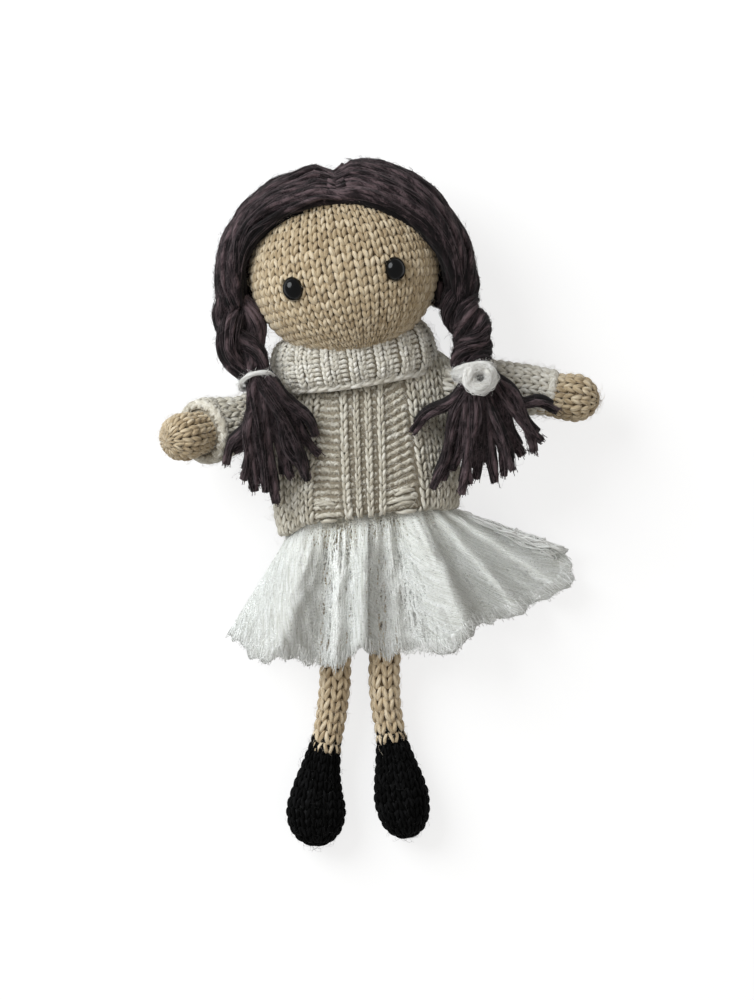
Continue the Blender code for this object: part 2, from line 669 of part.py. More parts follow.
def make_hair(floor):
    face = flat_outline("face", hairline(), HEAD_FRAME, HAIR_FRONT_Z, WORK_SPAN / 2)
    side_view = Matrix.Translation(HEAD_PLACE) @ SIDE_VIEW
    below = flat_outline("below", [
        (-WORK_SPAN, -WORK_SPAN), (-NAPE_DROP, -WORK_SPAN), (-NAPE_DROP, SIDE_HAIR_Z),
        (-SIDE_HAIR_DROP, SIDE_HAIR_Z), (-SIDE_HAIR_DROP, WORK_SPAN), (-WORK_SPAN, WORK_SPAN),
    ], side_view, -WORK_SPAN, WORK_SPAN)
    head_room = head_ball("hair_seat", -GAP)
    half_slot = PARTING_STITCH_RADIUS + GAP
    halves = {}
    for side, sign in SIDES.items():
        hair = ball(side + "_hair", HEAD_FRAME, (HAIR_HALF_WIDTH, HAIR_HALF_HEIGHT, HAIR_HALF_DEPTH),
                    "hair", HEAD_SEGMENTS, HEAD_RINGS)
        edges = sorted((-sign * WORK_SPAN, sign * half_slot))
        other = block(side + "_parting", HEAD_FRAME, (edges[0], -WORK_SPAN, -WORK_SPAN),
                      (edges[1], WORK_SPAN, WORK_SPAN))
        root_room = ball(side + "_plait_seat", Matrix.Translation(PLAIT_ROOT[side]),
                         [PLAIT_ROOT_RADIUS[side] + GAP] * 3)
        cut(hair, below, head_room, other, face, root_room, floor)
        halves[side] = hair
    return halves


def make_parting_stitch():
    """Follows the head from the hairline over the crown to the nape, in the slot of the parting."""
    lift = GAP + PARTING_STITCH_RADIUS
    height = HEAD_HALF_HEIGHT + lift
    depth = HEAD_HALF_DEPTH + lift
    first = pi / 2 - sqrt(1 - (HAIRLINE_HEIGHT / height) ** 2) - GAP / height
    last = pi + sqrt(NAPE_DROP / height) / 2
    points = []
    for i in range(ARCH_STEPS + 1):
        angle = mix(first, last, i / ARCH_STEPS)
        points.append(HEAD_FRAME @ Vector((0, height * sin(angle), depth * cos(angle))))
    return wire("hair_parting_stitch", points, "hair", PARTING_STITCH_RADIUS)


# Plaits

def make_plait(side):
    root, tie = PLAIT_ROOT[side], PLAIT_TIE[side]
    root_radius = PLAIT_ROOT_RADIUS[side]
    knot = ball(side + "_plait_root", Matrix.Translation(root), [root_radius] * 3, "hair")
    cut(knot, head_ball(side + "_root_head_room", -GAP))

    neck = TIE_NECK_RADIUS[side]
    down = (tie - root).normalized()
    first = root + down * (root_radius + GAP)
    aside = down.cross(Vector((0, 0, 1))).normalized() * PLAIT_SIDEWAYS[side]
    taper_start, taper_end = PLAIT_TAPER_SHARES
    points, radii = [], []
    for i in range(PLAIT_STATIONS + 1):
        share = i / PLAIT_STATIONS
        bow = sin(pi * min(share / taper_end, 1)) ** 2
        points.append(first.lerp(tie, share) + aside * bow)
        full = mix(root_radius, PLAIT_RADIUS[side], sin(pi * min(share, 0.5)))
        taper = mix(full, neck, min(max((share - taper_start) / (taper_end - taper_start), 0), 1))
        lobes = 1 - LOBE_DEPTH_SHARE * (1 - cos(2 * pi * PLAIT_LOBES[side] * share)) / 2
        radii.append(taper * lobes)
    plait = tube(side + "_plait", points, radii, "hair")
    cut(plait, head_ball(side + "_plait_head_room", -GAP))

    tie_frame = frame_along(tie, tie + down)
    yarn = TIE_YARN_RADIUS[side]
    ring = torus(side + "_plait_tie", tie_frame, neck + GAP + yarn, yarn, "white_yarn")
    if side == "left":
        lift = neck + GAP + yarn + TIE_LOOP_YARN_RADIUS
        loop_frame = Matrix.Translation(tie + Vector((0, 0, lift)))
        combine(ring, torus("tie_loop", loop_frame, TIE_LOOP_RADIUS, TIE_LOOP_YARN_RADIUS), "UNION")

    end = tie + Vector(TASSEL_REACH[side])
    start = tie + down * GAP
    flat = TASSEL_HALF_THICKNESS / TASSEL_HALF_WIDTH[side]
    rings = []
    for share, width_share in TASSEL_SHARES[side]:
        middle = start.lerp(end, share)
        half_width = TASSEL_HALF_WIDTH[side] * width_share
        half_depth = mix(neck, max(half_width * flat, TASSEL_HALF_THICKNESS / 2), min(share * 4, 1))
        across = down.cross(Vector((0, 0, 1))).normalized()
        upward = across.cross(down).lerp(Vector((0, 0, 1)), min(share * 4, 1))
        ring_points = []
        for i in range(BALL_SEGMENTS):
            angle = 2 * pi * i / BALL_SEGMENTS
            offset = across * half_width * cos(angle) + upward * half_depth * sin(angle)
            ring_points.append(middle + offset)
        rings.append(ring_points)
    tassel = loft(side + "_tassel", rings, "hair")
    return knot, plait, ring, tassel


# Limbs

def ball_start(radius):
    return [(-radius * cos(angle), radius * sin(angle)) for angle in BALL_ANGLES]


def round_end(length, radius):
    return [(length - radius + radius * cos(angle), radius * sin(angle)) for angle in reversed(BALL_ANGLES)]


def limb(name, start, end, stations, kind):
    """A straight stuffed tube whose stations are distances from the start, with a radius at each."""
    points = [along(start, end, distance) for distance, radius in stations]
    return tube(name, points, [radius for distance, radius in stations], kind)


def upper_segment(name, start, end, top_radius, end_radius, next_radius, kind):
    """A limb that starts in a ball round a two-way bend and ends flat before the next ball."""
    length = (Vector(end) - Vector(start)).length - next_radius - GAP
    stations = [*ball_start(top_radius), (length, end_radius)]
    segment = limb(name, start, end, stations, kind)
    bend_reach = BEND_RADIUS + BEND_CLEARANCE
    room = [along(start, end, -top_radius - OVERRUN), along(start, end, bend_reach)]
    cut(segment, bore(name + "_bend_room", room, bend_reach))
    cut(segment, bore(name + "_wire_bore", [start, along(start, end, length + OVERRUN)]))
    bend = ball(name.replace("upper_arm", "shoulder").replace("thigh", "hip") + "_wire_bend",
                Matrix.Translation(start), [BEND_RADIUS] * 3, "wire", SMALL_SEGMENTS, SMALL_RINGS)
    core = wire(name + "_wire", [along(start, end, BEND_RADIUS + GAP), along(start, end, length)], "wire")
    return segment, bend, core


def lower_segment(name, start, end, stations, wire_end, kind, through=False):
    """A limb that starts in a ball on a one-way bend, with its wire from inside that ball."""
    segment = limb(name, start, end, stations, kind)
    radius = max(radius for distance, radius in stations[:len(BALL_ANGLES)])
    stop = wire_end + (OVERRUN if through else GAP)
    cut(segment, bore(name + "_wire_bore", [along(start, end, -radius - OVERRUN), along(start, end, stop)]))
    core = wire(name + "_wire", [along(start, end, -radius + GAP), along(start, end, wire_end)], "wire")
    return segment, core


def arm_points(side):
    """The elbow and the tip of the hand."""
    shoulder = Vector(SHOULDER[side])
    level = Vector((SIDES[side] * cos(ARM_DROOP[side]), -sin(ARM_DROOP[side]), 0))

    def reach(length, rise):
        return (level * cos(rise) + Vector((0, 0, sin(rise)))) * length

    elbow = shoulder + reach(UPPER_ARM_LENGTH[side], UPPER_ARM_RISE[side])
    return elbow, elbow + reach(FOREARM_LENGTH[side], FOREARM_RISE[side])


def make_arm(side):
    shoulder = Vector(SHOULDER[side])
    elbow, tip = arm_points(side)
    upper, bend, upper_wire = upper_segment(
        side + "_upper_arm", shoulder, elbow, ARM_RADIUS, ARM_RADIUS, ARM_RADIUS, "tan"
    )
    length = FOREARM_LENGTH[side]
    stations = [*ball_start(ARM_RADIUS), (length * WRIST_SHARE, WRIST_RADIUS), *round_end(length, HAND_RADIUS)]
    forearm, forearm_wire = lower_segment(
        side + "_forearm", elbow, tip, stations, length - WIRE_TIP_INSET, "tan"
    )
    sleeve = make_sleeve(side, shoulder, elbow, tip)
    return upper, bend, upper_wire, forearm, forearm_wire, sleeve


def make_sleeve(side, shoulder, elbow, tip):
    """An open tube round the arm that bends with it at the elbow and widens to the cuff."""
    past_elbow = SLEEVE_LENGTH[side] - UPPER_ARM_LENGTH[side]
    inner = ARM_RADIUS + GAP
    cuff_inner = CUFF_RADIUS[side] - SLEEVE_WALL
    start = along(shoulder, elbow, -SLEEVE_TUCK)
    middle = along(shoulder, elbow, UPPER_ARM_LENGTH[side] - ARM_RADIUS)
    cuff = along(elbow, tip, past_elbow)
    route = [start, middle, elbow, cuff]
    inner_radii = [inner, inner, mix(inner, cuff_inner, 0.5), cuff_inner]
    sleeve = tube(side + "_sleeve", route, [radius + SLEEVE_WALL for radius in inner_radii], "cream")
    hollow_route = [along(start, middle, -OVERRUN), middle, elbow, along(elbow, tip, past_elbow + OVERRUN)]
    cut(sleeve, tube(side + "_sleeve_hollow", hollow_route, inner_radii))
    return sleeve


def make_leg(side):
    hip, knee, ankle, toe = (Vector(places[side]) for places in (HIP, KNEE, ANKLE, TOE))
    thigh, bend, thigh_wire = upper_segment(
        side + "_thigh", hip, knee, THIGH_RADIUS, KNEE_RADIUS, KNEE_RADIUS, "tan"
    )
    shin_length = (ankle - knee).length - ANKLE_RADIUS - GAP
    shin_stations = [*ball_start(KNEE_RADIUS), (shin_length / 2, SHIN_RADIUS), (shin_length, ANKLE_RADIUS)]
    shin, shin_wire = lower_segment(
        side + "_shin", knee, ankle, shin_stations, shin_length, "tan", True
    )
    foot_length = (toe - ankle).length
    width = SHOE_HALF_WIDTH[side]
    toe_start = foot_length * SHOE_TOE_SHARE
    toe_length = foot_length - toe_start
    stations = ball_start(ANKLE_RADIUS)
    stations += [(foot_length * place, width * share) for place, share in SHOE_SHARES]
    stations += [(toe_start + toe_length * cos(a), width * sin(a)) for a in reversed(BALL_ANGLES)]
    shoe, foot_wire = lower_segment(
        side + "_shoe", ankle, toe, stations, foot_length - WIRE_TIP_INSET, "black_knit"
    )
    foot_wire.name = side + "_foot_wire"
    to_middle = Matrix.Translation((0, 0, ankle.z))
    flatten = to_middle @ Matrix.Diagonal((1, 1, SHOE_DEPTH_SHARE[side], 1)) @ to_middle.inverted()
    shoe.data.transform(flatten)
    return thigh, bend, thigh_wire, shin, shin_wire, shoe, foot_wire


# The wire frame in the body

def make_frame_wires():
    left, right = Vector(SHOULDER["left"]), Vector(SHOULDER["right"])
    clear = ARM_RADIUS + GAP
    shoulder_route = [along(left, right, clear), along(right, left, clear)]

    bridge_y = TORSO_BOTTOM_Y + HIP_WIRE_RISE
    hip_left, hip_right = Vector(HIP["left"]), Vector(HIP["right"])
    above_thigh = THIGH_RADIUS + 2 * GAP
    hip_route = [
        Vector((hip_right.x, hip_right.y + above_thigh, hip_right.z)),
        Vector((hip_right.x, bridge_y - HIP_WIRE_CORNER, hip_right.z)),
        Vector((hip_right.x + HIP_WIRE_CORNER, bridge_y, hip_right.z)),
        Vector((hip_left.x - HIP_WIRE_CORNER, bridge_y, hip_left.z)),
        Vector((hip_left.x, bridge_y - HIP_WIRE_CORNER, hip_left.z)),
        Vector((hip_left.x, hip_left.y + above_thigh, hip_left.z)),
    ]
    spine_low = Vector((WAIST_X, bridge_y, SPINE_Z))
    spine_route = [spine_low, Vector((NECK.x, TORSO_TOP_Y, SPINE_Z)),
                   NECK - HEAD_UP * (BEND_RADIUS + GAP)]
    routes = {"shoulder_wire": shoulder_route, "hip_wire": hip_route, "spine_wire": spine_route}
    wires = [wire(name, route, "wire") for name, route in routes.items()]
    bores = []
    for name, route in routes.items():
        longer = list(route)
        if name != "spine_wire":
            longer[0] = along(route[0], route[1], -OVERRUN)
        longer[-1] = along(route[-1], route[-2], -OVERRUN)
        bores.append(bore(name + "_bore", longer))
    return wires, bores


def main():
    floor = block("floor", Matrix(), (-WORK_SPAN, -WORK_SPAN, -WORK_SPAN), (WORK_SPAN, WORK_SPAN, 0))

    jumper, knit, filling, thread = make_torso(floor)
    skirt = make_skirt()
    wires, bores = make_frame_wires()
    head_knit, head_filling, neck_wire, neck_bend, eyes, eye_thread = make_head()
    hair = make_hair(floor)
    stitch = make_parting_stitch()

    jumper_seat = torso_solid("collar_seat", -LAYER_GAP, HEM_SHARE, 1, None, False, True)
    collar = make_collar()
    cut(collar, jumper_seat, head_ball("collar_head_room", -GAP))

    cut(filling, *bores)
    cut(knit, *bores)

    pivot("torso", (WAIST_X, TORSO_BOTTOM_Y, TORSO_Z))
    pivot("neck", NECK, "torso")
    hang("torso", jumper, knit, filling, thread, skirt, collar, *wires)
    hang("neck", neck_bend, neck_wire, head_knit, head_filling, eye_thread, stitch, *eyes, *hair.values())

    for side in SIDES:
        pivot(side + "_plait_pivot", PLAIT_ROOT[side], "neck")
        hang(side + "_plait_pivot", *make_plait(side))

        upper, bend, upper_wire, forearm, forearm_wire, sleeve = make_arm(side)
        armhole = ARM_RADIUS + GAP + SLEEVE_WALL + ARMHOLE_SLACK
        shoulder_frame = Matrix.Translation(SHOULDER[side])
        cut(jumper, ball(side + "_armhole", shoulder_frame, [armhole] * 3))
        arm_seat = ball(side + "_arm_seat", shoulder_frame, [ARM_RADIUS + GAP] * 3)
        cut(knit, arm_seat)
        cut(filling, arm_seat)
        pivot(side + "_shoulder", SHOULDER[side], "torso")
        pivot(side + "_elbow", arm_points(side)[0], side + "_shoulder")
        hang(side + "_shoulder", upper, bend, upper_wire, sleeve)
        hang(side + "_elbow", forearm, forearm_wire)

        thigh, bend, thigh_wire, shin, shin_wire, shoe, foot_wire = make_leg(side)
        cut(shoe, floor)
        pivot(side + "_hip", HIP[side], "torso")
        pivot(side + "_knee", KNEE[side], side + "_hip")
        pivot(side + "_ankle", ANKLE[side], side + "_knee")
        hang(side + "_hip", thigh, bend, thigh_wire)
        hang(side + "_knee", shin, shin_wire)
        hang(side + "_ankle", shoe, foot_wire)


main()
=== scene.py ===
"""Looks of the knitted doll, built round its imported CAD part.

Metres, in the part's own frame: +Z comes out of the doll's front, +Y points to its head, +X to its left hand.
Every knitted surface is made of its stitches: a skin gives the form, and the yarn is laid on it loop by loop.
"""

import json

import bpy
import numpy as np
from math import cos, pi, radians, sin, sqrt, tan
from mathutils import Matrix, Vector


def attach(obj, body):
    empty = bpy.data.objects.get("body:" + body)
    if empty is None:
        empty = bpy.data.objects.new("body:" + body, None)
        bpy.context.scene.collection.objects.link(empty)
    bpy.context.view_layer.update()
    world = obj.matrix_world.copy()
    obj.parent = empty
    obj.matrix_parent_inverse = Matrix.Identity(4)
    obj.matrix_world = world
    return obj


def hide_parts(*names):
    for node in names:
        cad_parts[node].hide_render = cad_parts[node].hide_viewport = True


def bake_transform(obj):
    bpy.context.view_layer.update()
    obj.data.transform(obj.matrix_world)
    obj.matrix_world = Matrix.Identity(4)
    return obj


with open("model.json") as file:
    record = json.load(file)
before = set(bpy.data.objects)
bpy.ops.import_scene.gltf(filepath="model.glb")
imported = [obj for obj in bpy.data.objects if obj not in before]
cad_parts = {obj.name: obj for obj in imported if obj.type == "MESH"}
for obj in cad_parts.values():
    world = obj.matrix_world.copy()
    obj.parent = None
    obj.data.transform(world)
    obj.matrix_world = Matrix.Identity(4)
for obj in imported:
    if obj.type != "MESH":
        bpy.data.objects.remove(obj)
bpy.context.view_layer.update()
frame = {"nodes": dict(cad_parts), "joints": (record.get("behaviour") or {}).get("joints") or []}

# The photograph: one pixel of its 754 x 1000 in metres, and the pixel that lies over the origin
PHOTO_SIZE = (754, 1000)
PIXEL = 0.00035
ORIGIN_PIXEL = (378.5, 501.5)

PIVOT = {joint["name"]: np.array(joint["pos_m"]) for joint in frame["joints"]}
SIDES = {"left": 1, "right": -1}

# Forms that the yarn follows, as in the part's source
SLANT = radians(9)
WAIST_X, NECK_X = -0.0030, -0.0062
TORSO_BOTTOM_Y, TORSO_LENGTH = -0.0144, 0.0589
TORSO_HALF_WIDTH, TORSO_HALF_DEPTH, TORSO_Z = 0.0324, 0.0165, 0.0160
TORSO_SHARES = (         # height, width, depth, slant
    (0.00, 0.62, 0.56, 1.0), (0.04, 0.85, 0.80, 1.0), (0.09, 0.95, 0.92, 1.0), (0.25, 1.00, 1.00, 1.0),
    (0.50, 1.00, 1.00, 1.0), (0.70, 0.99, 0.97, 1.0), (0.82, 0.98, 0.93, 1.15), (0.90, 0.97, 0.88, 1.35),
    (0.96, 0.94, 0.80, 1.6), (1.00, 0.84, 0.68, 1.8),
)
HEM_SHARE, TUCK_SHARE = 0.135, 0.215
COLLAR_PLACE = np.array((-0.0093, 0.0505, 0.0192))
COLLAR_HALF_WIDTH, COLLAR_HALF_DEPTH = 0.0277, 0.0185
COLLAR_HEIGHT, COLLAR_THICKNESS = 0.0156, 0.0085
HEAD_TILT = radians(11)
HEAD_PLACE = np.array((-0.0121, 0.0810, 0.0280))
HEAD_SIZES = np.array((0.0330, 0.0310, 0.0245))
HAIR_SIZES = np.array((0.0455, 0.0395, 0.0285))
EYE_SPACING, EYE_MIDDLE_X, EYE_DROP = 0.0358, -0.0006, 0.0040
EYE_HALF_WIDTH, EYE_HALF_HEIGHT, EYE_HEIGHT = 0.0038, 0.0043, 0.0036
PLAIT_ROOT = {side: PIVOT[side + "_plait_swing"] for side in SIDES}
PLAIT_TIE = {"left": np.array((0.0350, 0.0442, 0.0352)), "right": np.array((-0.0425, 0.0425, 0.0352))}
HAND_TIP = {"left": (0.0768, 0.0354, 0.0177), "right": (-0.0736, 0.0210, 0.0361)}
TOE = {"left": (0.0105, -0.1180, 0.0080), "right": (-0.0220, -0.1208, 0.0080)}
SHOE_HALF_WIDTH = {"left": 0.0093, "right": 0.0102}
SHOE_DEPTH_SHARE = {"left": 0.92, "right": 0.84}

rng = np.random.default_rng(7)


def at(px, py, z=0.0):
    """A pixel of the photograph, at a height over the floor."""
    return np.array(((px - ORIGIN_PIXEL[0]) * PIXEL, (ORIGIN_PIXEL[1] - py) * PIXEL, z))


def unit(a):
    return a / np.maximum(np.linalg.norm(a, axis=-1, keepdims=True), 1e-12)


def smooth(x):
    x = np.clip(x, 0, 1)
    return x * x * (3 - 2 * x)


def mix(a, b, share):
    return a + (b - a) * share

def around(angle, first, second):
    """Points on a circle in the plane of two directions."""
    return first * np.cos(angle)[..., None] + second * np.sin(angle)[..., None]


def round_angles(count):
    return 2 * pi * np.arange(count) / count

def head_point(p):
    """A point given in the head's own axes, in the part's frame."""
    p = np.asarray(p, float)
    x, y = p[..., 0], p[..., 1]
    c, s = cos(HEAD_TILT), sin(HEAD_TILT)
    return np.stack((x * c - y * s, x * s + y * c, p[..., 2]), -1) + HEAD_PLACE


def in_head(p):
    """The head's own axes again."""
    q = p - HEAD_PLACE
    c, s = cos(HEAD_TILT), sin(HEAD_TILT)
    return np.stack((q[..., 0] * c + q[..., 1] * s, q[..., 1] * c - q[..., 0] * s, q[..., 2]), -1)


# Skins: smooth closed-round surfaces that the yarn is laid on

def spline_weights(t):
    return (
        0.5 * (-t ** 3 + 2 * t ** 2 - t), 0.5 * (3 * t ** 3 - 5 * t ** 2 + 2),
        0.5 * (-3 * t ** 3 + 4 * t ** 2 + t), 0.5 * (t ** 3 - t ** 2),
    )


class Skin:
    """A surface through rings of points. u is the share of the way round, v the share of the way along."""

    def __init__(self, rings):
        self.rings = np.array(rings, float)
        steps = np.linalg.norm(np.diff(self.rings, axis=0), axis=2).mean(1)
        reach = np.concatenate(([0], np.cumsum(steps)))
        self.length = reach[-1]
        self.shares = reach / self.length
        self.sign = 1
        middle = self.point(np.array([0.0]), np.array([0.5])) - self.point(np.array([0.5]), np.array([0.5]))
        if (self.normal(np.array([0.0]), np.array([0.5])) * middle).sum() < 0:
            self.sign = -1

    def point(self, u, v):
        count, around = self.rings.shape[:2]
        x = np.interp(v, self.shares, np.arange(count))
        y = np.mod(u, 1) * around
        i, j = np.minimum(x.astype(int), count - 2), y.astype(int)
        along, across = spline_weights(x - i), spline_weights(y - j)
        total = 0
        for a in range(4):
            row = np.clip(i + a - 1, 0, count - 1)
            for b in range(4):
                total = total + (along[a] * across[b])[..., None] * self.rings[row, (j + b - 1) % around]
        return total

    def normal(self, u, v, step=0.004):
        round_it = self.point(u + step, v) - self.point(u - step, v)
        along_it = self.point(u, np.minimum(v + step, 1)) - self.point(u, np.maximum(v - step, 0))
        return unit(np.cross(round_it, along_it)) * self.sign


# Meshes of yarn and skin

PATTERN_STARTS = 7       # the yarn's pattern starts anywhere within this many turns


class Weave:
    """Collects tubes and skins, all of quads, into one mesh with a strand map and a tone for each strand."""

    def __init__(self):
        self.points, self.quads, self.maps, self.tones, self.kinds, self.count = [], [], [], [], [], 0

    def add(self, points, quads, maps, tones, kind):
        """Adds faces, none of which reaches below the floor. kind is their material's place in the list."""
        points[:, 2] = np.maximum(points[:, 2], 0)
        self.points.append(points)
        self.quads.append(quads + self.count)
        self.maps.append(maps)
        self.tones.append(tones)
        self.kinds.append(np.full(len(quads), kind))
        self.count += len(points)

    def tubes(self, paths, radii, normals=None, sides=6, pitch=0.004, kind=0, tone=None):
        """Tubes along paths[n, k], the widths of which lie across the normals."""
        paths = np.asarray(paths, float)
        n, k = paths.shape[:2]
        radii = np.broadcast_to(radii, (n, k))
        tangents = unit(np.gradient(paths, axis=1))
        if normals is None:
            normals = carried_normals(tangents)
        across = unit(np.cross(tangents, normals))
        up = np.cross(across, tangents)
        ring = around(round_angles(sides), across[:, :, None], up[:, :, None])
        points = (paths[:, :, None] + ring * radii[:, :, None, None]).reshape(-1, 3)
        first = (np.arange(n) * k * sides)[:, None, None]
        row = (np.arange(k - 1) * sides)[None, :, None]
        side = np.arange(sides)[None, None, :]
        a = first + row + side
        b = first + row + (side + 1) % sides
        quads = np.stack((a, a + sides, b + sides, b), -1).reshape(-1, 4)
        steps = np.linalg.norm(np.diff(paths, axis=1), axis=2)
        reach = np.concatenate((np.zeros((n, 1)), np.cumsum(steps, 1)), 1) / pitch
        reach = reach + rng.random((n, 1)) * PATTERN_STARTS
        low, high = reach[:, :-1, None], reach[:, 1:, None]
        left, right = side / sides, (side + 1) / sides
        maps = np.stack([np.stack(np.broadcast_arrays(r, s), -1)
                         for r, s in ((low, left), (high, left), (high, right), (low, right))], 3)
        maps = maps.reshape(-1, 4, 2)
        fan = np.array([(0, i, i + 1, i + 2) for i in range(1, sides - 1, 2)])
        start = (first.reshape(-1, 1, 1) + fan[None]).reshape(-1, 4)
        end = (first.reshape(-1, 1, 1) + (k - 1) * sides + fan[None, :, ::-1]).reshape(-1, 4)
        caps = np.concatenate((start, end))
        if tone is None:
            tone = rng.random(n)
        tones = np.repeat(np.broadcast_to(np.reshape(tone, (n, -1)), (n, k)).ravel(), sides)
        self.add(points, np.concatenate((quads, caps)),
                 np.concatenate((maps, np.zeros((len(caps), 4, 2)))), tones, kind)

    def skin(self, skin, columns, rows, kind=1, closed=True, span=(0.0, 1.0)):
        """A skin itself, its two ends closed or left open."""
        u, v = np.meshgrid(np.arange(columns) / columns, np.linspace(*span, rows + 1))
        points = skin.point(u, v).reshape(-1, 3)
        i, j = np.meshgrid(np.arange(columns), np.arange(rows))
        a, b = j * columns + i, j * columns + (i + 1) % columns
        quads = np.stack((a, b, b + columns, a + columns), -1).reshape(-1, 4)
        fan = np.array([(0, i, i + 1, i + 2) for i in range(1, columns - 1, 2)])
        if closed:
            quads = np.concatenate((quads, fan[:, ::-1], fan + rows * columns))
        if skin.sign < 0:
            quads = quads[:, ::-1]
        maps = np.stack((u, v), -1).reshape(-1, 2)[quads]
        self.add(points, quads, maps, np.full(len(points), 0.5), kind)

    def build(self, name, *materials):
        points, quads = np.concatenate(self.points), np.concatenate(self.quads)
        mesh = bpy.data.meshes.new(name)
        mesh.vertices.add(len(points))
        mesh.vertices.foreach_set("co", points.astype(np.float32).ravel())
        mesh.loops.add(quads.size)
        mesh.loops.foreach_set("vertex_index", quads.astype(np.int32).ravel())
        mesh.polygons.add(len(quads))
        mesh.polygons.foreach_set("loop_start", np.arange(0, quads.size, 4, dtype=np.int32))
        mesh.polygons.foreach_set("material_index", np.concatenate(self.kinds).astype(np.int32))
        mesh.polygons.foreach_set("use_smooth", np.ones(len(quads), bool))
        mesh.update(calc_edges=True)
        layer = mesh.uv_layers.new(name="strand")
        layer.data.foreach_set("uv", np.concatenate(self.maps).astype(np.float32).ravel())
        tone = mesh.attributes.new("tone", "FLOAT", "POINT")
        tone.data.foreach_set("value", np.concatenate(self.tones).astype(np.float32))
        mesh.validate()
        for material in materials:
            mesh.materials.append(material)
        obj = bpy.data.objects.new(name, mesh)
        bpy.context.scene.collection.objects.link(obj)
        return obj


def carried_normals(tangents):
    """Normals carried along each path without twisting, from the direction nearest to +Z."""
    normals = np.empty_like(tangents)
    start = np.tile((0.03, 0.05, 1.0), (len(tangents), 1))
    for i in range(tangents.shape[1]):
        t = tangents[:, i]
        start = unit(start - (start * t).sum(-1, keepdims=True) * t)
        normals[:, i] = start
    return normals


def curve(points, count):
    """Points evenly along a smooth line through a few points."""
    points = np.asarray(points, float)
    ends = np.concatenate((2 * points[:1] - points[1:2], points, 2 * points[-1:] - points[-2:-1]))
    t = np.linspace(0, len(points) - 1, 12 * len(points))
    i = np.minimum(t.astype(int), len(points) - 2)
    weights = spline_weights(t - i)
    line = sum(weights[a][:, None] * ends[i + a] for a in range(4))
    reach = np.concatenate(([0], np.cumsum(np.linalg.norm(np.diff(line, axis=0), axis=1))))
    even = np.linspace(0, reach[-1], count)
    return np.stack([np.interp(even, reach, line[:, c]) for c in range(3)], -1)

def line_axes(line):
    """Two directions square to a line at each of its points, carried along it without twisting."""
    tangents = unit(np.gradient(line, axis=0))
    normal = carried_normals(tangents[None])[0]
    return np.cross(tangents, normal), normal


# What the pieces stand for and move with


def finish(weave, name, materials, stands_for=(), body=None):
    """Builds a piece, hides the solids that it stands for and lets it ride on its body."""
    piece = weave.build(name, *materials)
    if stands_for:
        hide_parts(*stands_for)
    if body is not None:
        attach(piece, body)
    return piece


def bend_over(piece):
    """Bakes a piece's placement into its mesh."""
    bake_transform(piece)


# Knitting

LEG_STEPS = 7            # points along each leg of a stitch
STITCH_LIFT = {"k": 0.0, "K": 0.75, "p": -0.1, "q": -0.55}     # in radii of the yarn
FILL_SHARE = 0.26        # widest yarn that fits, of the room between two columns
YARN_PITCH = 4.5         # length of one turn of the plies, in radii of the yarn


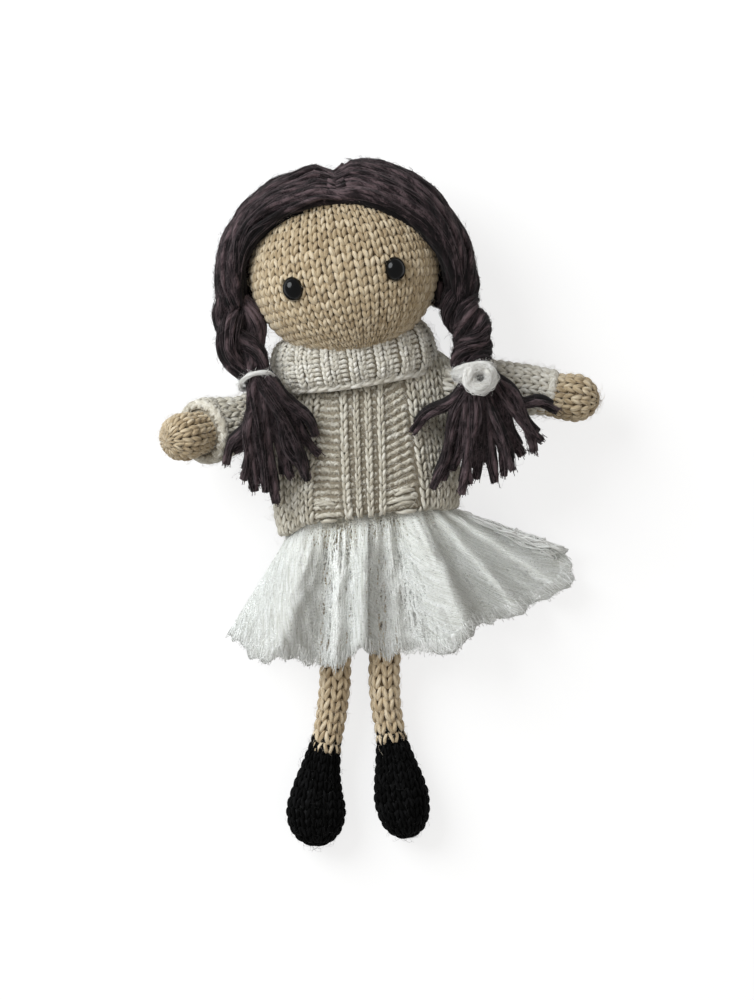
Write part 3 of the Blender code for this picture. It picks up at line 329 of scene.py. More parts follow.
def stitches(weave, skin, edges, rows, radius, kinds="k", span=(0.0, 1.0), keep=None, raise_row=None,
             lean=0.25, loose=1.0):
    """Lays a tube of knitting on a skin.

    edges are the columns' limits, as shares of the way round, at the first row and at the last. kinds has a
    letter for each column, repeated: k is a knit stitch, K one that stands out, p a purl stitch and q a
    purl stitch that lies deep between two ribs. raise_row moves a stitch along, by its place round the skin.
    """
    low, high = np.asarray(edges[0]), np.asarray(edges[1])
    columns = len(low) - 1
    kinds = (kinds * columns)[:columns]
    i, j = (a.ravel() for a in np.meshgrid(np.arange(columns), np.arange(rows)))
    share = (j + 0.5) / rows
    middle_u = mix(mix(low[i], high[i], share), mix(low[i + 1], high[i + 1], share), 0.5)
    middle_v = mix(*span, share)
    used = np.ones(len(i), bool) if keep is None else keep(skin.point(middle_u, middle_v))
    i, j = i[used], j[used]
    letter = np.array(list(kinds))[i]
    s = np.linspace(0, 1, LEG_STEPS)
    knit, purl = np.isin(letter, ("k", "K")), np.isin(letter, ("p", "q"))
    lift = np.array([STITCH_LIFT[x] for x in letter]) * radius

    def lay(i, j, lift, across, up, height, width, size):
        n = len(i)
        across = across + rng.normal(0, 0.025 * loose, (n, 1))
        up = up + rng.normal(0, 0.035 * loose, (n, 1))
        share = np.clip((j[:, None] + up) / rows, -0.02, 1.02)
        start = mix(low[i][:, None], high[i][:, None], share)
        end = mix(low[i + 1][:, None], high[i + 1][:, None], share)
        u = mix(start, end, across)
        v = mix(*span, share)
        if raise_row is not None:
            v = v + raise_row(u, v)
        v = np.clip(v, 0.002, 0.998)
        normals = skin.normal(u, v)
        middle = v.mean(1)
        room = np.linalg.norm(skin.point(end.mean(1), middle) - skin.point(start.mean(1), middle), axis=-1)
        fit = np.clip(room * FILL_SHARE / radius, 0.35, 1.0)[:, None]
        size = size * fit * (1 + rng.normal(0, 0.06 * loose, (n, 1)))
        points = skin.point(u, v) + normals * (lift[:, None] + radius * height)[:, :, None]
        weave.tubes(points, width * size * radius, normals, tone=rng.random(n), pitch=YARN_PITCH * radius)

    taper = np.sin(pi * (0.09 + 0.82 * s)) ** 0.55
    for way in (-1, 1):
        a, b = i[knit], j[knit]
        across = 0.5 + way * (0.095 + lean * smooth(s * 0.95 + 0.05))[None]
        rise = 0.05 + 0.85 * np.sin(pi * (0.12 + 0.82 * s)) - 0.25 * s
        lay(a, b, lift[knit], across, (-0.14 + 1.26 * s)[None], rise[None], taper[None], 1.0)
    if purl.any():
        a, b = i[purl], j[purl]
        arch = np.sin(pi * s)
        bump = np.sin(pi * (0.04 + 0.92 * s)) ** 0.6
        lay(a, b, lift[purl], (0.04 + 0.92 * s)[None], (-0.10 + 0.68 * arch)[None], (-1.4 + 2.3 * arch)[None],
            bump[None], 1.0)
        lay(a, b, lift[purl], (0.55 + 0.9 * s)[None], (0.98 - 0.50 * arch)[None], (-1.5 + 1.9 * arch)[None],
            bump[None], 0.9)


def even_edges(columns, start=0.0):
    edge = np.arange(columns + 1) / columns + start
    return edge, edge


def chain(weave, skin, v, count, radius, reach, depth, height):
    """The cast-off edge: long loops, each slanting over the next."""
    s = np.linspace(0, 1, LEG_STEPS + 1)
    arch = np.sin(pi * (0.1 + 0.8 * s))
    for way in (-1, 1):
        u = (np.arange(count)[:, None] + reach * s[None] + 0.25 * way) / count
        vs = np.clip(v + way * depth * (1 - 1.6 * s[None]) + np.zeros_like(u), 0.002, 0.998)
        normals = skin.normal(u, vs)
        points = skin.point(u, vs) + normals * radius * (height * arch)[None, :, None]
        weave.tubes(points, (arch ** 0.5 * radius)[None], normals, pitch=YARN_PITCH * radius)


# Loose fibres

FLUFF = {                # what stands off a piece: how many fibres, how long and how thick
    "head": (1100, 0.0045, 0.000045), "jumper": (1050, 0.0055, 0.00005), "collar": (1100, 0.0055, 0.00006),
    "sleeve": (500, 0.0050, 0.00005), "arm": (220, 0.0035, 0.000045), "leg": (160, 0.0035, 0.000045),
    "shoe": (160, 0.0040, 0.00004),
}
HAIR_STEPS, HALO_STEPS = 5, 9


def fluff(weave, skin, kind, yarn, span, keep=None):
    """Loose fibres that stand off a knitted piece. yarn is its yarn's radius."""
    count, length, radius = FLUFF[kind]
    u, v = rng.random(count), rng.uniform(*span, count)
    point = skin.point(u, v)
    if keep is not None:
        used = keep(point)
        u, v, point = u[used], v[used], point[used]
    normal = skin.normal(u, np.clip(v, 0.01, 0.99))
    hairs(weave, point + normal * yarn, normal, length, radius)


def hairs(weave, start, normal, length, radius, kind=2, rise=0.5):
    """Curved hairs from their roots, which rise off the surface by up to this share of their length."""
    n = len(start)
    side = unit(np.cross(normal, rng.normal(size=(n, 3))))
    curl = unit(np.cross(normal, side) + rng.normal(0, 0.4, (n, 3)))
    size = length * rng.uniform(0.4, 1.0, (n, 1))
    lifted = rng.uniform(0.2, 1.0, (n, 1)) * rise
    t = np.linspace(0, 1, HAIR_STEPS)[None, :, None]
    bend = rng.normal(0, 0.35, (n, 1, 1))
    along, up, aside = ((way * size)[:, None] for way in (side, normal * lifted, curl))
    paths = start[:, None] + along * t + up * np.sin(t * pi * 0.8) + aside * bend * t ** 2
    weave.tubes(paths, (radius * (1 - 0.6 * t[0, :, 0]))[None], sides=3, kind=kind)


def halo(weave, paths, radii, count, fibre, reach=1.12, share=0.45, kind=2):
    """Fibres that run along the strands and wander off them a little, as in soft yarn."""
    n, k = paths.shape[:2]
    tangents = unit(np.gradient(paths, axis=1))
    normals = carried_normals(tangents)
    across = np.cross(tangents, normals)
    which = np.repeat(np.arange(n), count)[:, None]
    each, way = (n * count, 1), np.linspace(0, 1, HALO_STEPS)[None]
    start = rng.uniform(-0.05, 1.0 - share * 0.5, each)
    t = np.clip(start + share * rng.uniform(0.5, 1.0, each) * way, 0, 1)
    place = t * (k - 1)
    i = np.minimum(place.astype(int), k - 2)
    part = (place - i)[..., None]

    def read(values):
        return values[which, i] * (1 - part) + values[which, i + 1] * part

    angle = rng.uniform(0, 2 * pi, each) + rng.normal(0, 1.0, each) * way
    stray = 1 + np.abs(rng.normal(0, 0.22, each)) * np.sin(pi * way) ** 2
    size = (read(radii[..., None])[..., 0] * reach * stray)[..., None]
    ring = around(angle, read(across), read(normals))
    weave.tubes(read(paths) + ring * size, fibre * rng.uniform(0.6, 1.3, each), sides=4, kind=kind)


# Materials

GRAIN_HEIGHT = 0.0003    # of yarn and of plain surfaces


def node(tree, kind, inputs=(), **settings):
    """A node with its settings, its inputs set to values or linked to other nodes' outputs."""
    made = tree.nodes.new("ShaderNode" + kind)
    for key, value in settings.items():
        setattr(made, key, value)
    for key, value in dict(inputs).items():
        if isinstance(value, bpy.types.NodeSocket):
            tree.links.new(value, made.inputs[key])
        else:
            made.inputs[key].default_value = value
    return made


def output(tree, kind, inputs=(), **settings):
    """The same node's first output."""
    return node(tree, kind, inputs, **settings).outputs[0]


def new_material(name, inputs, **settings):
    """A material of one shader with these inputs and settings."""
    material = bpy.data.materials.new(name)
    material.use_nodes = True
    tree = material.node_tree
    tree.nodes.clear()
    shader = node(tree, "BsdfPrincipled", inputs, **settings)
    node(tree, "OutputMaterial", {0: shader.outputs[0]})
    return material, tree, shader


def math(tree, operation, a, b=0.5):
    return output(tree, "Math", {0: a, 1: b}, operation=operation)


def times(tree, a, b):
    return math(tree, "MULTIPLY", a, b)


def plus(tree, a, b):
    return math(tree, "ADD", a, b)


def minus(tree, a, b):
    return math(tree, "SUBTRACT", a, b)


def vector(tree, operation, inputs):
    return output(tree, "VectorMath", inputs, operation=operation)


def noise(tree, place, scale, detail, roughness=0.5):
    return output(tree, "TexNoise", {"Vector": place, "Scale": scale, "Detail": detail, "Roughness": roughness})


def scaled(tree, value, low, high, first, last):
    """The value's way from low to high, as a number from first to last."""
    return output(tree, "MapRange", {0: value, 1: low, 2: high, 3: first, 4: last})


def bump(tree, height, strength, distance=GRAIN_HEIGHT):
    return output(tree, "Bump", {"Height": height, "Strength": strength, "Distance": distance})


def ramp(tree, factor, *stops):
    made = node(tree, "ValToRGB", {0: factor})
    elements = made.color_ramp.elements
    while len(elements) < len(stops):
        elements.new(0.5)
    for element, (place, colour) in zip(elements, stops):
        element.position = place
        element.color = (*colour, 1)
    return made.outputs[0]


def yarn_material(name, dark, middle, light, plies=2, raised=0.5, sheen=0.25, fibre=1.0, spread=0.21, gloss=0.25,
                  run=0.8, mottle=0.25, grain=0.6, cut=9.0):
    """Plied yarn: the plies wind round each strand, fine fibres run along them, and each strand has its tone.

    run and cut say how fine the fibres' pattern is along the plies and round the strand, grain how rough it is,
    fibre how far it stands out, and mottle how much the colour follows the strand's tone instead.
    """
    material, tree, shader = new_material(
        name, {"Roughness": 0.85, "Sheen Weight": sheen, "Sheen Roughness": 0.45, "Specular IOR Level": gloss})
    split = node(tree, "SeparateXYZ", {0: output(tree, "UVMap", uv_map="strand")}).outputs
    tone = node(tree, "Attribute", attribute_name="tone").outputs["Fac"]
    phase = plus(tree, split[0], times(tree, split[1], float(plies)))
    ply = math(tree, "SINE", times(tree, phase, 2 * pi))
    place = output(tree, "CombineXYZ", {0: times(tree, phase, run), 1: times(tree, split[1], cut),
                                     2: times(tree, tone, 37.0)})
    fibres = noise(tree, place, 2.2, 6.0, grain)
    blotch = plus(tree, times(tree, fibres, 1 - mottle), times(tree, tone, mottle))
    # painted shade: the colour darkens a little in the grooves between the plies
    shade = plus(tree, times(tree, ply, 0.07), blotch)
    colour = ramp(tree, shade, (0.50 - spread, dark), (0.50, middle), (0.50 + spread, light))
    height = plus(tree, times(tree, ply, 0.35), times(tree, fibres, 1.2 * fibre))
    tree.links.new(colour, shader.inputs["Base Color"])
    tree.links.new(bump(tree, height, raised), shader.inputs["Normal"])
    return material


def plain_material(name, low, high, roughness, scale, raised=0.3, metallic=0.0, sheen=0.0):
    """A surface whose colour and height vary finely."""
    material, tree, shader = new_material(
        name, {"Roughness": roughness, "Metallic": metallic, "Sheen Weight": sheen})
    specks = noise(tree, node(tree, "TexCoord").outputs["Object"], scale, 5.0)
    tree.links.new(ramp(tree, specks, (0.3, low), (0.7, high)), shader.inputs["Base Color"])
    tree.links.new(bump(tree, specks, raised), shader.inputs["Normal"])
    return material


EVEN_LIGHT = 0.85        # how much the thin cloth evens out the light that falls on its folds
LIGHT_SPREAD = 0.0090    # how far light spreads through it
THREAD_DRIFT = 3.2       # how far the threads wander, in threads
OPEN_SHARE, OPEN_LIMIT = 0.72, 1.33
GATHERED_ROWS = (3.0, 9.0)       # rows of the weave below the waist in which its holes open
# painted shade: the dark olive that the gauze turns towards near the waist
WAIST_PAINTED_SHADE = (0.42, 0.41, 0.30, 1)
# painted shade: the gauze's colours, greyer where its crinkles lie low
GAUZE_CREASES = ((0.36, (0.64, 0.65, 0.605)), (0.50, (0.80, 0.815, 0.785)), (0.64, (0.92, 0.935, 0.92)))


def gauze_material(name):
    """Open crinkled weave: threads both ways with holes between, open where the strands' tone says so."""
    material, tree, shader = new_material(
        name, {"Subsurface Weight": 0.9, "Subsurface Radius": (1.0, 1.0, 1.0), "Subsurface Scale": LIGHT_SPREAD,
               "Roughness": 0.9, "Sheen Weight": 0.3}, subsurface_method="BURLEY")
    cloth = output(tree, "UVMap", uv_map="strand")
    openness = node(tree, "Attribute", attribute_name="tone").outputs["Fac"]
    drift = node(tree, "TexNoise", {"Vector": cloth, "Scale": 0.45, "Detail": 4.0}).outputs["Color"]
    pull = vector(tree, "SCALE", {0: drift, 3: THREAD_DRIFT})
    split = node(tree, "SeparateXYZ", {0: vector(tree, "ADD", {0: cloth, 1: pull})}).outputs
    across, down = (math(tree, "ABSOLUTE", math(tree, "SINE", times(tree, split[way], pi))) for way in (0, 1))
    gap = times(tree, across, down)
    patches = plus(tree, times(tree, noise(tree, cloth, 0.12, 3.0), 0.50),
                   times(tree, noise(tree, cloth, 1.2, 3.0), 0.50))
    limit = minus(tree, OPEN_LIMIT, plus(tree, times(tree, openness, OPEN_SHARE), patches))
    hole = scaled(tree, minus(tree, gap, limit), -0.05, 0.12, 0.0, 1.0)
    cover = minus(tree, 0.98, times(tree, hole, scaled(tree, split[1], *GATHERED_ROWS, 0.0, 0.94)))
    # painted shade: the crease noise that lowers the bump also makes the colour greyer
    crease = noise(tree, vector(tree, "MULTIPLY", {0: cloth, 1: (1.0, 0.13, 1.0)}), 1.1, 5.0)
    colour = ramp(tree, crease, *GAUZE_CREASES)
    # painted shade: the cloth darkens to olive near the waist, the more so where it is open
    waist = scaled(tree, minus(tree, 1.0, math(tree, "DIVIDE", split[1], 30.0)), 0.2, 0.95, 0.0, 1.0)
    shade = times(tree, waist, plus(tree, times(tree, openness, 0.65), 0.10))
    height = minus(tree, times(tree, crease, 1.7), times(tree, gap, 0.6))
    outward = vector(tree, "SCALE", {0: bump(tree, height, 0.55, 0.0004), 3: 1 - EVEN_LIGHT})
    upward = output(tree, "CombineXYZ", {2: EVEN_LIGHT})
    facing = vector(tree, "NORMALIZE", {0: vector(tree, "ADD", {0: outward, 1: upward})})
    tree.links.new(output(tree, "MixRGB", {0: shade, 1: colour, 2: WAIST_PAINTED_SHADE}), shader.inputs["Base Color"])
    tree.links.new(facing, shader.inputs["Normal"])
    tree.links.new(cover, shader.inputs["Alpha"])
    glowing = output(tree, "BsdfTranslucent", {"Color": colour})
    both = output(tree, "MixShader", {0: times(tree, cover, 0.25), 1: shader.outputs[0], 2: glowing})
    tree.links.new(both, tree.get_output_node("ALL").inputs[0])
    return material


def fluff_material(name, low, high):
    return plain_material(name, low, high, 0.8, 300, 0.0, 0.0, 0.5)


def bead_material(name):
    material, tree, shader = new_material(name, {"Specular IOR Level": 0.27})
    specks = noise(tree, node(tree, "TexCoord").outputs["Object"], 900.0, 3.0)
    colour = ramp(tree, specks, (0.3, (0.0003, 0.0006, 0.0009)), (0.7, (0.0008, 0.0014, 0.0020)))
    tree.links.new(colour, shader.inputs["Base Color"])
    tree.links.new(scaled(tree, specks, 0.3, 0.7, 0.13, 0.19), shader.inputs["Roughness"])
    return material


TAN = yarn_material("tan_yarn", (0.31, 0.225, 0.13), (0.53, 0.425, 0.275), (0.72, 0.62, 0.46))
# painted shade: a dark tan under the loops, for the shade in the gaps between them
TAN_SHADE_GROUND = plain_material("tan_shade_ground", (0.12, 0.08, 0.04), (0.20, 0.145, 0.085), 0.95, 900)
TAN_FLUFF = fluff_material("tan_fluff", (0.55, 0.45, 0.32), (0.75, 0.66, 0.52))
CREAM = yarn_material("cream_yarn", (0.50, 0.465, 0.385), (0.73, 0.70, 0.62), (0.88, 0.865, 0.81), sheen=0.35)
# painted shade: a darker copy of the cream yarn, for the jumper's body and the right sleeve, where less light
# falls
CREAM_SHADED = yarn_material("cream_shaded_yarn", (0.38, 0.34, 0.265), (0.59, 0.555, 0.465), (0.78, 0.755, 0.68),
                           sheen=0.3)
# painted light: a lighter copy of the tan yarn, which makes the legs brighter
LIT_LEG_TAN = yarn_material("leg_lit_yarn", (0.36, 0.265, 0.16), (0.62, 0.50, 0.33), (0.82, 0.71, 0.54))
# painted shade: a dark cream under the loops and inside the sleeves, for the shade there
CREAM_SHADE_GROUND = plain_material("cream_shade_ground", (0.24, 0.205, 0.15), (0.36, 0.32, 0.25), 0.95, 900)
CREAM_FLUFF = fluff_material("cream_fluff", (0.72, 0.70, 0.64), (0.88, 0.87, 0.83))
BLACK = yarn_material("black_yarn", (0.0015, 0.0015, 0.0015), (0.0030, 0.0030, 0.0030), (0.0085, 0.0085, 0.009),
                      sheen=0.0, raised=0.4, gloss=0.06)
BLACK_GROUND = plain_material("black_ground", (0.002, 0.002, 0.002), (0.005, 0.005, 0.006), 0.95, 900)
BLACK_FLUFF = plain_material("black_fluff", (0.01, 0.01, 0.01), (0.03, 0.03, 0.03), 0.9, 300)
HAIR = yarn_material("hair_yarn", (0.003, 0.0015, 0.002), (0.018, 0.0105, 0.0125), (0.135, 0.093, 0.101), plies=1,
                     raised=0.9, sheen=0.05, fibre=1.8, spread=0.15, run=3.0, mottle=0.30, grain=0.75, cut=1.8)
# painted shade: near-black under the hair's strands, in the plaits' cores and under the tassels; it is also the
# own dark colour of the eye thread and the parting stitch
HAIR_SHADE_AND_THREADS = plain_material("hair_shade_and_threads", (0.002, 0.001, 0.0015), (0.007, 0.004, 0.005), 0.95, 700)
HAIR_FLUFF = plain_material("hair_fluff", (0.012, 0.007, 0.008), (0.125, 0.092, 0.100), 0.8, 350)
WHITE = yarn_material("white_yarn", (0.66, 0.65, 0.60), (0.82, 0.81, 0.77), (0.93, 0.92, 0.90), plies=1,
                      sheen=0.4)
WHITE_FLUFF = fluff_material("white_fluff", (0.80, 0.79, 0.76), (0.92, 0.92, 0.90))
GAUZE = gauze_material("gauze")
THREAD = plain_material("gauze_thread", (0.90, 0.92, 0.90), (0.99, 1.0, 0.99), 0.85, 400, 0.1, 0.0, 0.5)
BEAD = bead_material("black_bead")
WIRE = plain_material("bent_wire", (0.36, 0.36, 0.37), (0.50, 0.50, 0.51), 0.35, 1500, 0.1, 1.0)
FILLING = plain_material("filling_fibre", (0.70, 0.69, 0.66), (0.90, 0.89, 0.86), 0.95, 500, 0.5)

# Yarn, the ground under its loops, and fluff. The tan, cream and hair grounds are painted shade: far darker than
# their yarn, so that the gaps between the loops look shaded
TAN_KNIT = (TAN, TAN_SHADE_GROUND, TAN_FLUFF)
CREAM_KNIT = (CREAM, CREAM_SHADE_GROUND, CREAM_FLUFF)
SHADED_CREAM_KNIT = (CREAM_SHADED, CREAM_SHADE_GROUND, CREAM_FLUFF)
STRANDS = (HAIR, HAIR_SHADE_AND_THREADS, HAIR_FLUFF)
for name, part in frame["nodes"].items():
    kind = WIRE if "wire" in name else FILLING
    if name in ("eye_thread", "hair_parting_stitch"):
        kind = HAIR_SHADE_AND_THREADS
    if name == "skirt_gather_thread":
        kind = THREAD
    part.data.materials.clear()
    part.data.materials.append(kind)


# Head

HEAD_COLUMNS, HEAD_ROWS = 54, 29
HEAD_RING_POINTS = 48
YARN = 0.00096           # radius of the tan yarn
FACE_HALF_WIDTH, FACE_HALF_HEIGHT = 0.0355, 0.0275       # of the face that the hair leaves free
FACE_BACK_Z, HAIR_END_Y = -0.004, -0.0095


def head_ring(latitude):
    turn = round_angles(HEAD_RING_POINTS)
    a, b, c = HEAD_SIZES - YARN
    high = np.full(HEAD_RING_POINTS, b * sin(latitude))
    return head_point(np.stack((a * cos(latitude) * np.cos(turn), high, c * cos(latitude) * np.sin(turn)), -1))


def face_side(points):
    """True where the hair doesn't cover the head."""
    x, y, z = np.moveaxis(in_head(points), -1, 0)
    oval = (x / FACE_HALF_WIDTH) ** 2 + (np.maximum(y, 0) / FACE_HALF_HEIGHT) ** 2 < 1.02
    return (z > FACE_BACK_Z) & oval | (y < HAIR_END_Y)


def make_head():
    skin = Skin([head_ring(a) for a in np.radians(np.linspace(-86, 86, 25))])
    weave = Weave()
    weave.skin(skin, HEAD_RING_POINTS, 28)
    stitches(weave, skin, even_edges(HEAD_COLUMNS, 0.5 / HEAD_COLUMNS), HEAD_ROWS, YARN, keep=face_side)
    fluff(weave, skin, "head", YARN, (0.1, 0.9), face_side)
    finish(weave, "head_stockinette", TAN_KNIT, ["head_knit"], "head")


def make_eye(side):
    """A domed bead, pulled a little into the knitting."""
    x, y = EYE_MIDDLE_X + SIDES[side] * EYE_SPACING / 2, -EYE_DROP
    a, b, c = HEAD_SIZES
    z = c * sqrt(1 - (x / a) ** 2 - (y / b) ** 2)
    outward = unit(np.array((x / a ** 2, y / b ** 2, z / c ** 2)))
    upward = unit(np.array((0, 1, 0)) - outward * outward[1])
    sideways = np.cross(upward, outward)
    ring = around(round_angles(40), sideways * EYE_HALF_WIDTH, upward * EYE_HALF_HEIGHT)
    rings = [head_point(np.array((x, y, z)) + ring * cos(tilt) + outward * EYE_HEIGHT * sin(tilt))
             for tilt in np.radians(np.linspace(-50, 88, 24))]
    weave = Weave()
    weave.skin(Skin(rings), 40, 24, kind=0)
    finish(weave, side + "_eye_bead", [BEAD], [side + "_eye"], body="head")


# Hair

STRAND = 0.0017          # radius of the hair yarn
PLY = 0.00098            # radius of one of its plies
HAIR_PITCH = 0.009       # length of one turn of the plies
HAIR_FIBRE = 0.00006     # radius of a fibre that stands off it
HAIR_STRANDS, HAIR_POINTS = 62, 26
HAIR_LAYERS, UNDER_LAYER = (1.8, 3.1, 4.7), 5.8          # how deep each layer lies, in plies
HAIR_ENDS = (0.92, 0.78, 0.60, 0.40)     # how the strands run thin where the plait takes them
FRONT_ANGLE, NAPE_ANGLE = radians(43), radians(184)
RIGHT_LOWER = 0.0016     # how much lower the hair lies on the right of the parting
PARTING_SHARE = 0.07     # place of the parting, of the hair's half width
PARTING_DIP, PARTING_SPREAD = 0.125, 0.11
FRONT_SINK = 0.0030      # how deep the strands beside the face lie
HAIR_NARROWER = {"left": 0.0013, "right": 0.0}   # how much closer the hair lies at the side of the head
FACE_PAINTED_SHADE = {"left": 0.5, "right": 0.9}                 # painted shade: how much darker the strands are beside the face
HAIR_WANDER, WANDER_KNOTS = 0.0005, 7


def slerp(a, b, t):
    """The way from one direction to another, over a ball."""
    angle = np.arccos(np.clip((a * b).sum(-1), -1, 1))[..., None]
    return (np.sin((1 - t) * angle) * a + np.sin(t * angle) * b) / np.sin(angle)


def hair_paths(side, angles, inset, wander=True):
    """Strands over the head from the parting to the plait, by their angle over the crown."""
    sign = SIDES[side]
    sizes = HAIR_SIZES - inset - np.array((HAIR_NARROWER[side], 0, 0))
    n = len(angles)
    crown = np.exp(-((angles - pi / 2) / 0.9) ** 2)
    start = np.stack((PARTING_SHARE - sign * (0.05 + 0.05 * rng.random(n)), np.sin(angles), np.cos(angles)), -1)
    root = in_head(PLAIT_ROOT[side])
    order = (angles - FRONT_ANGLE) / (NAPE_ANGLE - FRONT_ANGLE)
    fan = pi * (0.98 * order - 0.35)
    end = root + 0.0044 * np.stack((sign * np.sin(fan), 0.35 * np.ones(n), np.cos(fan)), -1)
    end[:, 1] -= rng.uniform(-0.0010, 0.0050, n)
    t = np.linspace(0, 1, HAIR_POINTS)[None, :, None]
    arc = slerp(unit(start)[:, None], unit(end / sizes)[:, None], t)
    push = np.sin(pi * t) * (0.20 * np.maximum(0, 1 - order * 2.2))[:, None, None]
    arc = unit(arc + push * np.array((sign * 0.35, 0.75, -0.1)))
    dip = PARTING_DIP * np.exp(-((arc[..., :1] - PARTING_SHARE) / PARTING_SPREAD) ** 2)
    paths = arc * sizes * (1 - dip * (0.35 + 0.65 * crown[:, None, None]))
    beside = PARTING_SHARE - arc[..., 0]
    paths[..., 1] -= RIGHT_LOWER * smooth(beside / 0.3) * (1 - smooth((beside - 0.25) / 0.3)) * crown[:, None]
    reach = np.linalg.norm(end / sizes, axis=-1)[:, None, None]
    paths = paths * mix(1.0, reach, smooth(t * 2.2 - 1.2))
    edge = np.maximum(0, 1 - order * 6)[:, None] * smooth(t[..., 0] * 2 - 0.3)
    paths[..., 2] -= FRONT_SINK * edge
    if wander:
        wave = rng.normal(0, HAIR_WANDER, (n, WANDER_KNOTS, 3))
        knots = np.linspace(0, 1, WANDER_KNOTS)
        drift = np.stack([np.stack([np.interp(t[0, :, 0], knots, wave[m, :, c]) for c in range(3)], -1)
                          for m in range(n)])
        paths = paths + drift * np.sin(pi * np.clip(t * 1.1, 0, 1))
    return head_point(paths)


def rough_radius(n, steps, radius, amount):
    """Radii of n strands that vary along them."""
    knots = rng.normal(1, amount, (n, 9))
    grid = np.linspace(0, 8, steps)
    return radius * np.stack([np.interp(grid, np.arange(9), row) for row in knots])


def picked(paths, count, margin):
    """Points of the strands, chosen at random between their ends."""
    return paths[rng.integers(0, len(paths), count), rng.integers(margin, paths.shape[1] - margin, count)]


def make_hair(side):
    weave = Weave()
    angles = np.linspace(FRONT_ANGLE, NAPE_ANGLE, HAIR_STRANDS)
    for layer, depth in enumerate(HAIR_LAYERS):
        turned = angles + layer * 0.5 * (angles[1] - angles[0]) + rng.normal(0, 0.014, HAIR_STRANDS)
        paths = hair_paths(side, turned[:HAIR_STRANDS - layer], depth * PLY)
        n = len(paths)
        stands_out = rough_radius(n, HAIR_POINTS, 1, 0.55) - 1
        paths = paths + unit(paths - HEAD_PLACE) * stands_out[..., None] * PLY
        radii = rough_radius(n, HAIR_POINTS, PLY * (1 + 0.15 * layer), 0.16)
        radii[:, -len(HAIR_ENDS):] *= HAIR_ENDS
        order, share = np.linspace(0, 1, n)[:, None], np.linspace(0, 1, HAIR_POINTS)[None]
        tone = rng.random((n, 1)) * 0.8 + 0.2
        beside_face = np.maximum(0, 1 - order * 4) * smooth(share * 2.5 - 0.5)
        # painted shade: the strands beside the face and those of the deeper layers are made darker
        tone = tone - FACE_PAINTED_SHADE[side] * beside_face - 0.25 * layer
        weave.tubes(paths, radii, pitch=HAIR_PITCH, tone=tone)
        if layer == 0:
            halo(weave, paths, radii, 12, 0.00008, 1.1)
            some = picked(paths, 2400, 2)
            outward = unit(some - HEAD_PLACE)
            hairs(weave, some + outward * PLY * 0.8, outward, 0.0032, HAIR_FIBRE, rise=0.35)
    # painted shade: a near-black sheet under the strands, so that the gaps between them look shaded
    under = hair_paths(side, angles, UNDER_LAYER * PLY, wander=False)
    n, k = under.shape[:2]
    i, j = np.meshgrid(np.arange(k - 1), np.arange(n - 1))
    a = (j * k + i).ravel()
    quads = np.stack((a, a + 1, a + k + 1, a + k), -1)
    weave.add(under.reshape(-1, 3), quads, np.zeros((len(quads), 4, 2)), np.full(n * k, 0.5), 1)
    finish(weave, side + "_hair_strands", STRANDS, [side + "_hair"], body="head")


def bundle(weave, middle, spread, count, radius, turns, phase=0.0, core=True):
    """Strands laid round a line and twisted together, over a core or hollow."""
    k = len(middle)
    across, normal = line_axes(middle)
    spread = np.broadcast_to(spread, k)
    if core:
        # painted shade: a near-black core under the strands, so that the gaps between them look shaded
        weave.tubes(middle[None], np.maximum(spread, radius)[None], sides=8, pitch=HAIR_PITCH, kind=1)
    angles = 2 * pi * (np.arange(count)[:, None] / count + turns * np.linspace(0, 1, k)) + phase
    paths = middle + around(angles, across, normal) * spread[:, None]
    weave.tubes(paths, rough_radius(count, k, radius, 0.14), pitch=HAIR_PITCH)
    return paths


PLAIT_POINTS, PLAIT_BEND_POINTS = 44, 12
PLAIT_OVERLAP = {"left": 0.008, "right": 0.006}     # how far the plait's strands run on under the hair
PLAIT_BOW = {"left": -0.0020, "right": 0.0015}      # how far it bows sideways
UNDER_HAIR = {"left": np.array((-0.010, 0.0, -0.030)), "right": np.array((0.055, 0.0, -0.045))}
LOW_PLAIT_SHIFT = {"left": np.array((-0.0026, 0.0, 0.0)), "right": np.zeros(3)}     # off the tie's middle
LEFT_PLAIT_TURNS, RIGHT_PLAIT_TURNS = 1.15, 0.62


def plait_line(side):
    root, tie = PLAIT_ROOT[side], PLAIT_TIE[side]
    bow = np.cross(unit(tie - root), (0, 0, 1.0)) * PLAIT_BOW[side]
    t = np.linspace(-PLAIT_OVERLAP[side] / np.linalg.norm(tie - root), 1, PLAIT_POINTS)[:, None]
    under = np.clip(-t, 0, 1) ** 2 * UNDER_HAIR[side]
    aside = smooth((t - 0.45) / 0.35) * LOW_PLAIT_SHIFT[side]
    return root + (tie - root) * t + bow * np.sin(pi * np.clip(t, 0, 1)) ** 2 + under + aside


def rope_part(weave, line, m):
    """One of the three parts of the left plait, which wind round its line as in a rope."""
    across, normal = line_axes(line)
    t = np.linspace(0, 1, PLAIT_POINTS)
    full = 0.0040 * (1 - 0.40 * smooth((t - 0.80) / 0.24)) * (0.75 + 0.25 * smooth(t * 4))
    angle = 2 * pi * (m / 3 - LEFT_PLAIT_TURNS * t) + 0.4
    return bundle(weave, line + around(angle, across, normal) * full[:, None], full * 0.66, 9, PLY, -1.6, m)


